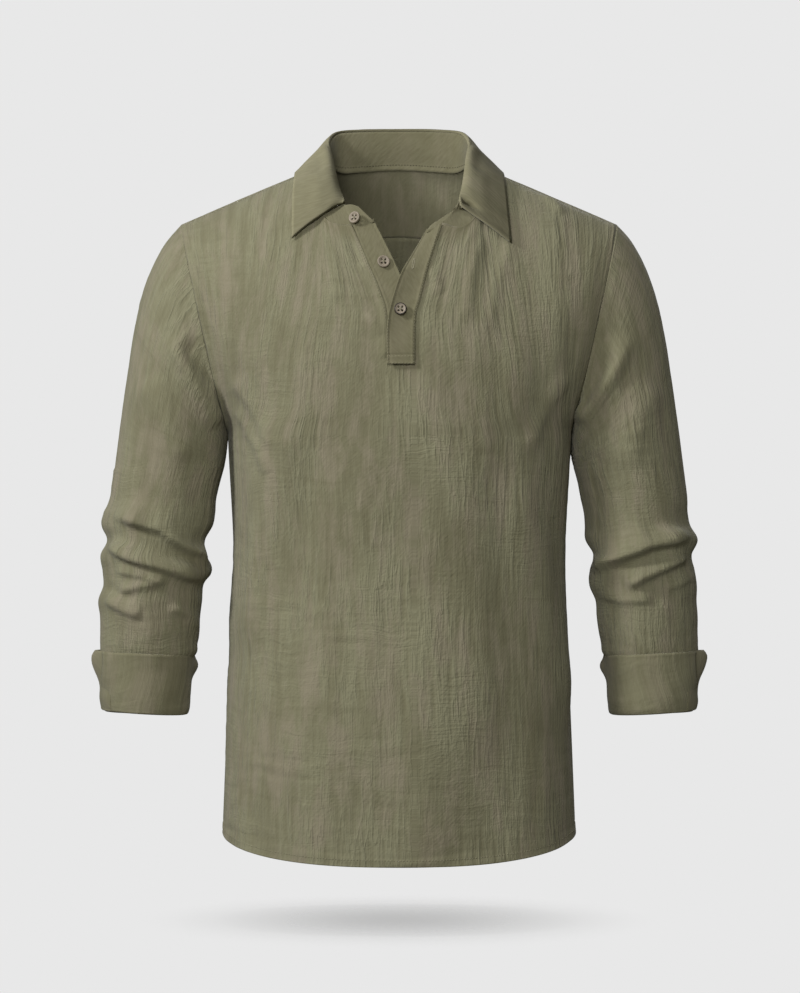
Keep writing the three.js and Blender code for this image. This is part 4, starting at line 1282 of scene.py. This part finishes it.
def button_mesh(radius):
    """A four-hole button: a spun profile with a raised rim; drill_holes cuts its holes right
    through.
    """
    bm = bmesh.new()
    r = radius
    profile = [(0, -0.0011), (0.86 * r, -0.0011), (r, -0.0004), (r, 0.0006), (0.93 * r, 0.0012),
               (0.8 * r, 0.0012), (0.68 * r, 0.0006), (0.3 * r, 0.0004), (0, 0.0004)]
    verts = [bm.verts.new((x, 0, z)) for x, z in profile]
    edges = [bm.edges.new(pair) for pair in zip(verts, verts[1:])]
    bmesh.ops.spin(bm, geom=verts + edges, cent=(0, 0, 0), axis=(0, 0, 1), steps=40,
                   angle=2 * math.pi, use_merge=True)
    bmesh.ops.remove_doubles(bm, verts=bm.verts, dist=1e-6)
    bmesh.ops.recalc_face_normals(bm, faces=bm.faces)
    return mesh_from(bm, "button")


def drill_holes(piece, radius):
    bm = bmesh.new()
    for a, b in ((-1, -1), (1, -1), (1, 1), (-1, 1)):
        place = Matrix.Translation((a * radius * HOLE_PLACE, b * radius * HOLE_PLACE, 0))
        bmesh.ops.create_cone(bm, cap_ends=True, segments=14, radius1=radius * HOLE_RADIUS,
                              radius2=radius * HOLE_RADIUS, depth=0.006, matrix=place)
    mesh = mesh_from(bm, "holes")
    tool = bpy.data.objects.new("holes", mesh)
    bpy.context.scene.collection.objects.link(tool)
    cut = piece.modifiers.new("Holes", "BOOLEAN")
    cut.object = tool
    cut.operation = "DIFFERENCE"
    cut.solver = "EXACT"
    bpy.context.view_layer.update()
    done = bpy.data.meshes.new_from_object(
        piece.evaluated_get(bpy.context.evaluated_depsgraph_get()))
    piece.modifiers.clear()
    piece.data = done
    bpy.data.objects.remove(tool)


def button_turn(face):
    """Rotation that turns the button's face from +Z to a direction, its holes kept square."""
    side = Vector((0, 0, 1)).cross(face).normalized()
    return Matrix((side, face.cross(side), face)).transposed().to_4x4()


def make_button(name, aim, painted_rim_shade):
    radius = sizes().button
    piece = finish_piece(button_mesh(radius), f"{name}_horn")
    drill_holes(piece, radius)
    horn = plain_material("Horn", colours().button, 0.45, 0.25, 260)
    piece.data.materials.append(horn)
    # The fastened button's rim is painted near-black for shade.
    if painted_rim_shade:
        piece.data.materials.append(plain_material("Horn painted shade", colours().rim, 0.4, 0.3, 260))
        for polygon in piece.data.polygons:
            polygon.material_index = int(polygon.center.xy.length > RIM_SHADE_START * radius)
    turn = Matrix.Translation(middle_of(name) * MM) @ button_turn(aim)
    piece.data.transform(turn)
    on_frame(piece, [name])
    bm = bmesh.new()
    for size in ((0.62, 0.15), (0.15, 0.62)):
        lump = turn @ Matrix.Translation((0, 0, 0.0005)) @ Matrix.Diagonal(
            (size[0] * radius, size[1] * radius, 0.0006, 1))
        bmesh.ops.create_icosphere(bm, subdivisions=2, radius=0.5, matrix=lump)
    shank = turn @ Matrix.Translation((0, 0, -0.0023))
    dark = bmesh.ops.create_cone(bm, cap_ends=True, segments=16, radius1=0.0016, radius2=0.0027,
                                 depth=0.0022, matrix=shank)["verts"]
    for face in {f for v in dark for f in v.link_faces}:
        face.material_index = 1
    mesh = mesh_from(bm, f"{name}_thread")
    thread = finish_piece(mesh, f"{name}_thread")
    on_frame(thread, [], plain_material("Thread", colours().thread, 0.8, 0.3))
    thread.data.materials.append(
        plain_material("Hole shade", [c * 0.12 for c in colours().thread], 0.95, 0.3))


# ---- Stitching ----

def surface_of(*names):
    """A tree of the finished surfaces, to lay stitches on."""
    trees = []
    deps = bpy.context.evaluated_depsgraph_get()
    for name in names:
        trees.append(BVHTree.FromObject(bpy.data.objects[name], deps))
    return trees


def stitch_row(bm, points, trees, outward, step, length=0.72, wide=0.0009):
    """Lays thread lumps along a line of points, on the outermost of the surfaces there."""
    lengths = [0.0]
    for a, b in zip(points, points[1:]):
        lengths.append(lengths[-1] + (b - a).length)
    count = max(2, round(lengths[-1] / step))
    for n in range(count):
        target = (n + 0.5) / count * lengths[-1]
        i = max(k for k, total in enumerate(lengths[:-1]) if total <= target)
        t = (target - lengths[i]) / max(1e-9, lengths[i + 1] - lengths[i])
        here = points[i].lerp(points[i + 1], t)
        along = (points[i + 1] - points[i]).normalized()
        toward = outward(here).normalized()
        hits = [h for h in (tree.ray_cast(here + toward * 0.02, -toward, 0.04) for tree in trees)
                if h[0] is not None]
        if not hits:
            continue
        spot, normal = min(hits, key=lambda h: h[3])[:2]
        if normal.dot(toward) < 0:
            normal = -normal
        across = normal.cross(along).normalized()
        along = across.cross(normal)
        turn = Matrix((along, across, normal)).transposed().to_4x4()
        place = Matrix.Translation(spot + normal * 0.0001) @ turn @ Matrix.Diagonal(
            (step * length, wide, 0.0007, 1))
        bmesh.ops.create_icosphere(bm, subdivisions=1, radius=0.5, matrix=place)


def finish_stitches(bm, name, kind="thread"):
    mesh = mesh_from(bm, name)
    piece = finish_piece(mesh, name)
    shade = plain_material(kind.replace("_", " ").capitalize(), getattr(colours(), kind), 0.8, 0.3)
    on_frame(piece, [], shade)


def make_hem_stitches():
    bm = bmesh.new()
    for name, start, end in (("front_panel", -88, 88), ("back_panel", 92, 268)):
        line = []
        for k in range(121):
            theta = math.radians(lerp(start, end, k / 120))
            line.append(trunk_at(theta, hem_height(theta) + HEM_DEEP) * MM)
        stitch_row(bm, line, surface_of(name), lambda p: Vector((p.x, p.y, 0)), sizes().stitch)
    finish_stitches(bm, "hem_stitches")


def make_placket_stitches():
    bm = bmesh.new()
    step = sizes().stitch
    trees = surface_of("placket_over_cloth", "front_panel")

    def front(_):
        return Vector((0, -1, 0))
    seam, edge = stations(OVER_SEAM), stations(OVER_EDGE)
    for line, shift, low, high in ((seam, -1.2, PLACKET_FOOT + 1, -62),
                                   (edge, 1.2, PLACKET_FOOT + 1, -150)):
        points = []
        for k in range(41):
            z = lerp(low, high, k / 40)
            points.append((body_at(line(z) + shift, z, False) + Vector((0, -2, 0))) * MM)
        stitch_row(bm, points, trees, front, step)
    for height in (PLACKET_FOOT + 1.2, PLACKET_FOOT + 8.5):
        points = [(body_at(lerp(-11, 15, k / 10), height, False) + Vector((0, -2, 0))) * MM
                  for k in range(11)]
        stitch_row(bm, points, trees, front, step)
    under = stations(UNDER_SEAM)
    points = [(body_at(under(z) - 1.5, z, False)) * MM
              for z in (lerp(-150, -66, k / 40) for k in range(41))]
    stitch_row(bm, points, surface_of("front_panel"), front, step)
    finish_stitches(bm, "placket_stitches")


def make_neck_stitches():
    bm = bmesh.new()
    points = []
    for k in range(81):
        t = lerp(-0.6, 0.6, k / 80)
        foot, top = stand_ends(-1 if t < 0 else 1, abs(t))
        inner = Vector((-foot.x, -foot.y + 5, 0)).normalized()
        points.append((foot.lerp(top, 0.09) + inner * 2) * MM)
    stitch_row(bm, points, surface_of("collar_stand_cloth"),
               lambda p: Vector((-p.x, -p.y, 0)), sizes().stitch)
    # The neck stitches take the painted-shade thread.
    finish_stitches(bm, "neck_stitches", "painted_shade_thread")


def make_buttonhole():
    """A narrow ring of close stitches on the over placket."""
    bm = bmesh.new()
    centre = body_at(14.5, -95, False) * MM
    lean = Vector((0.16, 0, 1)).normalized()
    ring = []
    for k in range(33):
        a = 2 * math.pi * k / 32
        up = lean * 0.0052 * math.sin(a)
        ring.append(centre + up + Vector((0.0009 * math.cos(a), -0.004, 0)))
    stitch_row(bm, ring, surface_of("placket_over_cloth"), lambda p: Vector((0, -1, 0)), 0.0009,
               1.3, 0.0011)
    finish_stitches(bm, "buttonhole_stitches", "light_thread")


# ---- Stage ----

def soft_light(name, place, aim, size, power):
    data = bpy.data.lights.new(name, "AREA")
    data.shape = "DISK"
    data.size = size
    data.energy = power
    lamp = bpy.data.objects.new(name, data)
    lamp.location = place
    lamp.rotation_euler = (Vector(aim) - Vector(place)).to_track_quat("-Z", "Y").to_euler()
    bpy.context.scene.collection.objects.link(lamp)
    return lamp


def floor_material():
    """Pale floor that fades into the backdrop away from the shirt."""
    material = bpy.data.materials.new("Pale floor")
    material.use_nodes = True
    tree = material.node_tree
    tree.nodes.clear()
    place = node(tree, "ShaderNodeTexCoord").outputs["Object"]
    flat = node(tree, "ShaderNodeVectorMath", {0: place, 1: (0.8, 1, 0)},
                operation="MULTIPLY").outputs[0]
    away = node(tree, "ShaderNodeVectorMath", {0: flat}, operation="LENGTH").outputs[1]
    solid = node(tree, "ShaderNodeMapRange", {
        "Value": away, "From Min": 0.0, "From Max": 0.22, "To Min": 0.44, "To Max": 0.0},
        interpolation_type="SMOOTHSTEP").outputs[0]
    paint = node(tree, "ShaderNodeBsdfDiffuse", {"Color": (0.9, 0.9, 0.9, 1)}).outputs[0]
    clear = node(tree, "ShaderNodeBsdfTransparent").outputs[0]
    both = node(tree, "ShaderNodeMixShader", {0: solid, 1: clear, 2: paint}).outputs[0]
    node(tree, "ShaderNodeOutputMaterial", {"Surface": both})
    return material


def make_floor():
    bm = bmesh.new()
    bmesh.ops.create_circle(bm, cap_ends=True, segments=96, radius=0.9)
    level = CAD_BOX[0][2] - 0.062
    bmesh.ops.translate(bm, verts=bm.verts, vec=(0, 0, level))
    mesh = mesh_from(bm, "floor")
    floor = bpy.data.objects.new("floor", mesh)
    bpy.context.scene.collection.objects.link(floor)
    mesh.materials.append(floor_material())


def light_apart(lamp, names, state):
    """Lets a lamp reach only some pieces, or everything but them."""
    reached = bpy.data.collections.new(f"{lamp.name} {state.lower()}")
    for name in names:
        reached.objects.link(bpy.data.objects[name])
    for item in reached.collection_objects:
        item.light_linking.link_state = state
    lamp.light_linking.receiver_collection = reached


def make_world():
    world = bpy.data.worlds.new("Studio")
    world.use_nodes = True
    tree = world.node_tree
    tree.nodes.clear()
    seen = node(tree, "ShaderNodeLightPath").outputs["Is Camera Ray"]
    shown = node(tree, "ShaderNodeBackground", {
        "Color": (*colours().backdrop, 1), "Strength": 1.0}).outputs[0]
    fill = node(tree, "ShaderNodeBackground", {
        "Color": (1, 0.98, 0.82, 1), "Strength": 0.115}).outputs[0]
    both = node(tree, "ShaderNodeMixShader", {0: seen, 1: fill, 2: shown}).outputs[0]
    node(tree, "ShaderNodeOutputWorld", {"Surface": both})
    bpy.context.scene.world = world


def make_camera():
    distance, view_height, sensor = 3.2, 1.0327, 36.0
    data = bpy.data.cameras.new("Camera")
    data.sensor_width = sensor
    data.lens = sensor * distance / view_height
    data.clip_end = 50
    camera = bpy.data.objects.new("Camera", data)
    camera.location = (0.00104, -distance, -0.3291)
    camera.rotation_euler = (RIGHT_ANGLE, 0, 0)
    bpy.context.scene.collection.objects.link(camera)
    bpy.context.scene.camera = camera


NECK_MIDDLE, SHIRT_MIDDLE, BELOW = (0, 0, 0), (0, 0, -0.3), (0, 0, -1)
# Lamps: place and aim in metres, size, watts, and the pieces that one misses or alone lights
LAMPS = {
    "Key": ((-2.5, -1.35, 1.35), SHIRT_MIDDLE, 0.6, 58, ["floor"], "EXCLUDE"),
    "Crown": ((-0.5, -0.9, 2.0), NECK_MIDDLE, 1.0, 9, ["floor"], "EXCLUDE"),
    "Rear": ((0.9, 2.6, 1.3), SHIRT_MIDDLE, 1.2, 26, ["floor"], "EXCLUDE"),
    "Front fill": ((-0.3, -2.9, 0.5), SHIRT_MIDDLE, 1.1, 36, ["floor", "collar_leaf_cloth"],
                   "EXCLUDE"),
    "Collar side": ((-2.8, -1.0, 0.6), NECK_MIDDLE, 1.0, 80, ["collar_leaf_cloth"], "INCLUDE"),
    "Neck fill": ((-0.6, -2.6, -0.6), NECK_MIDDLE, 1.0, 24, ["yoke_panel"], "INCLUDE"),
    "Overhead": ((0.01, 0, 2.2), BELOW, 1.2, 46, ["floor"], "INCLUDE"),
}


def make_stage():
    """Plain pale floor and backdrop, soft lamps and a camera in front of the shirt."""
    bpy.context.scene.view_settings.view_transform = "Standard"
    bpy.context.scene.view_settings.look = "None"
    make_world()
    make_floor()
    make_camera()
    for name, (place, aim, size, power, pieces, state) in LAMPS.items():
        light_apart(soft_light(name, place, aim, size, power), pieces, state)


# ---- Operators ----

class ShirtOperator:
    bl_options = {"REGISTER", "UNDO"}

    def execute(self, context):
        self.make()
        return {"FINISHED"}


class SHIRT_OT_stage(ShirtOperator, bpy.types.Operator):
    """Set the camera, the lights and the pale floor"""
    bl_idname = "shirt.stage"
    bl_label = "Stage"

    def make(self):
        make_stage()


class SHIRT_OT_front(ShirtOperator, bpy.types.Operator):
    """Make the front, slit for the placket"""
    bl_idname = "shirt.front"
    bl_label = "Front"

    def make(self):
        make_front()


class SHIRT_OT_back(ShirtOperator, bpy.types.Operator):
    """Make the back below the yoke seam"""
    bl_idname = "shirt.back"
    bl_label = "Back"

    def make(self):
        make_back()


class SHIRT_OT_yoke(ShirtOperator, bpy.types.Operator):
    """Make the yoke over the shoulders"""
    bl_idname = "shirt.yoke"
    bl_label = "Yoke"

    def make(self):
        make_yoke()


class SHIRT_OT_sleeves(ShirtOperator, bpy.types.Operator):
    """Make the two sleeves with their folds"""
    bl_idname = "shirt.sleeves"
    bl_label = "Sleeves"

    def make(self):
        make_sleeve(-1, "right")
        make_sleeve(1, "left")


class SHIRT_OT_cuffs(ShirtOperator, bpy.types.Operator):
    """Make the two turned-back cuffs"""
    bl_idname = "shirt.cuffs"
    bl_label = "Cuffs"

    def make(self):
        make_cuff(-1, "right")
        make_cuff(1, "left")


class SHIRT_OT_collar(ShirtOperator, bpy.types.Operator):
    """Make the collar's stand and leaf"""
    bl_idname = "shirt.collar"
    bl_label = "Collar"

    def make(self):
        make_stand()
        make_leaf()


class SHIRT_OT_placket(ShirtOperator, bpy.types.Operator):
    """Make the two bands of the half placket"""
    bl_idname = "shirt.placket"
    bl_label = "Placket"

    def make(self):
        make_placket("placket_under_cloth", "placket_under", UNDER_SEAM, UNDER_EDGE, UNDER_WIDTH,
                     (SLIT_FOOT, SLIT_FOOT), UNDER_TOP, UNDER_LIFT, 0.3, 41)
        make_placket("placket_over_cloth", "placket_over", OVER_SEAM, OVER_EDGE, OVER_WIDTH,
                     (PLACKET_FOOT, PLACKET_FOOT), OVER_TOP, OVER_LIFT, 2.4, 43)


class SHIRT_OT_buttons(ShirtOperator, bpy.types.Operator):
    """Make the three buttons"""
    bl_idname = "shirt.buttons"
    bl_label = "Buttons"

    def make(self):
        for name, lean, painted_rim_shade in (("button_stand", (-0.5, -0.8, 0.25), False),
                                     ("button_open", (0.15, -1, 0.25), False),
                                     ("button_fastened", (0, -1, 0.2), True)):
            make_button(name, Vector(lean).normalized(), painted_rim_shade)


class SHIRT_OT_stitches(ShirtOperator, bpy.types.Operator):
    """Sew the hem, the placket, the neck seam and the buttonhole"""
    bl_idname = "shirt.stitches"
    bl_label = "Stitches"

    def make(self):
        make_hem_stitches()
        make_placket_stitches()
        make_neck_stitches()
        make_buttonhole()


OPERATORS = (
    SHIRT_OT_front, SHIRT_OT_back, SHIRT_OT_yoke, SHIRT_OT_sleeves, SHIRT_OT_cuffs,
    SHIRT_OT_collar, SHIRT_OT_placket, SHIRT_OT_buttons, SHIRT_OT_stitches, SHIRT_OT_stage,
)


class SHIRT_PT_pieces(bpy.types.Panel):
    """The shirt's pieces, in sewing order"""
    bl_idname = "SHIRT_PT_pieces"
    bl_label = "Shirt"
    bl_space_type = "VIEW_3D"
    bl_region_type = "UI"
    bl_category = "Shirt"

    def draw(self, context):
        for settings in (context.scene.shirt_sizes, context.scene.shirt_colours):
            for key in settings.__annotations__:
                self.layout.prop(settings, key)
        for operator in OPERATORS:
            self.layout.operator(operator.bl_idname)


CLASSES = (ShirtSizes, ShirtColours, *OPERATORS, SHIRT_PT_pieces)


def register():
    for cls in CLASSES:
        bpy.utils.register_class(cls)
    bpy.types.Scene.shirt_sizes = bpy.props.PointerProperty(type=ShirtSizes)
    bpy.types.Scene.shirt_colours = bpy.props.PointerProperty(type=ShirtColours)


def unregister():
    del bpy.types.Scene.shirt_colours
    del bpy.types.Scene.shirt_sizes
    for cls in reversed(CLASSES):
        bpy.utils.unregister_class(cls)


def main():
    register()
    for operator in OPERATORS:
        group, name = operator.bl_idname.split(".")
        getattr(getattr(bpy.ops, group), name)()


if __name__ == "__main__":
    main()
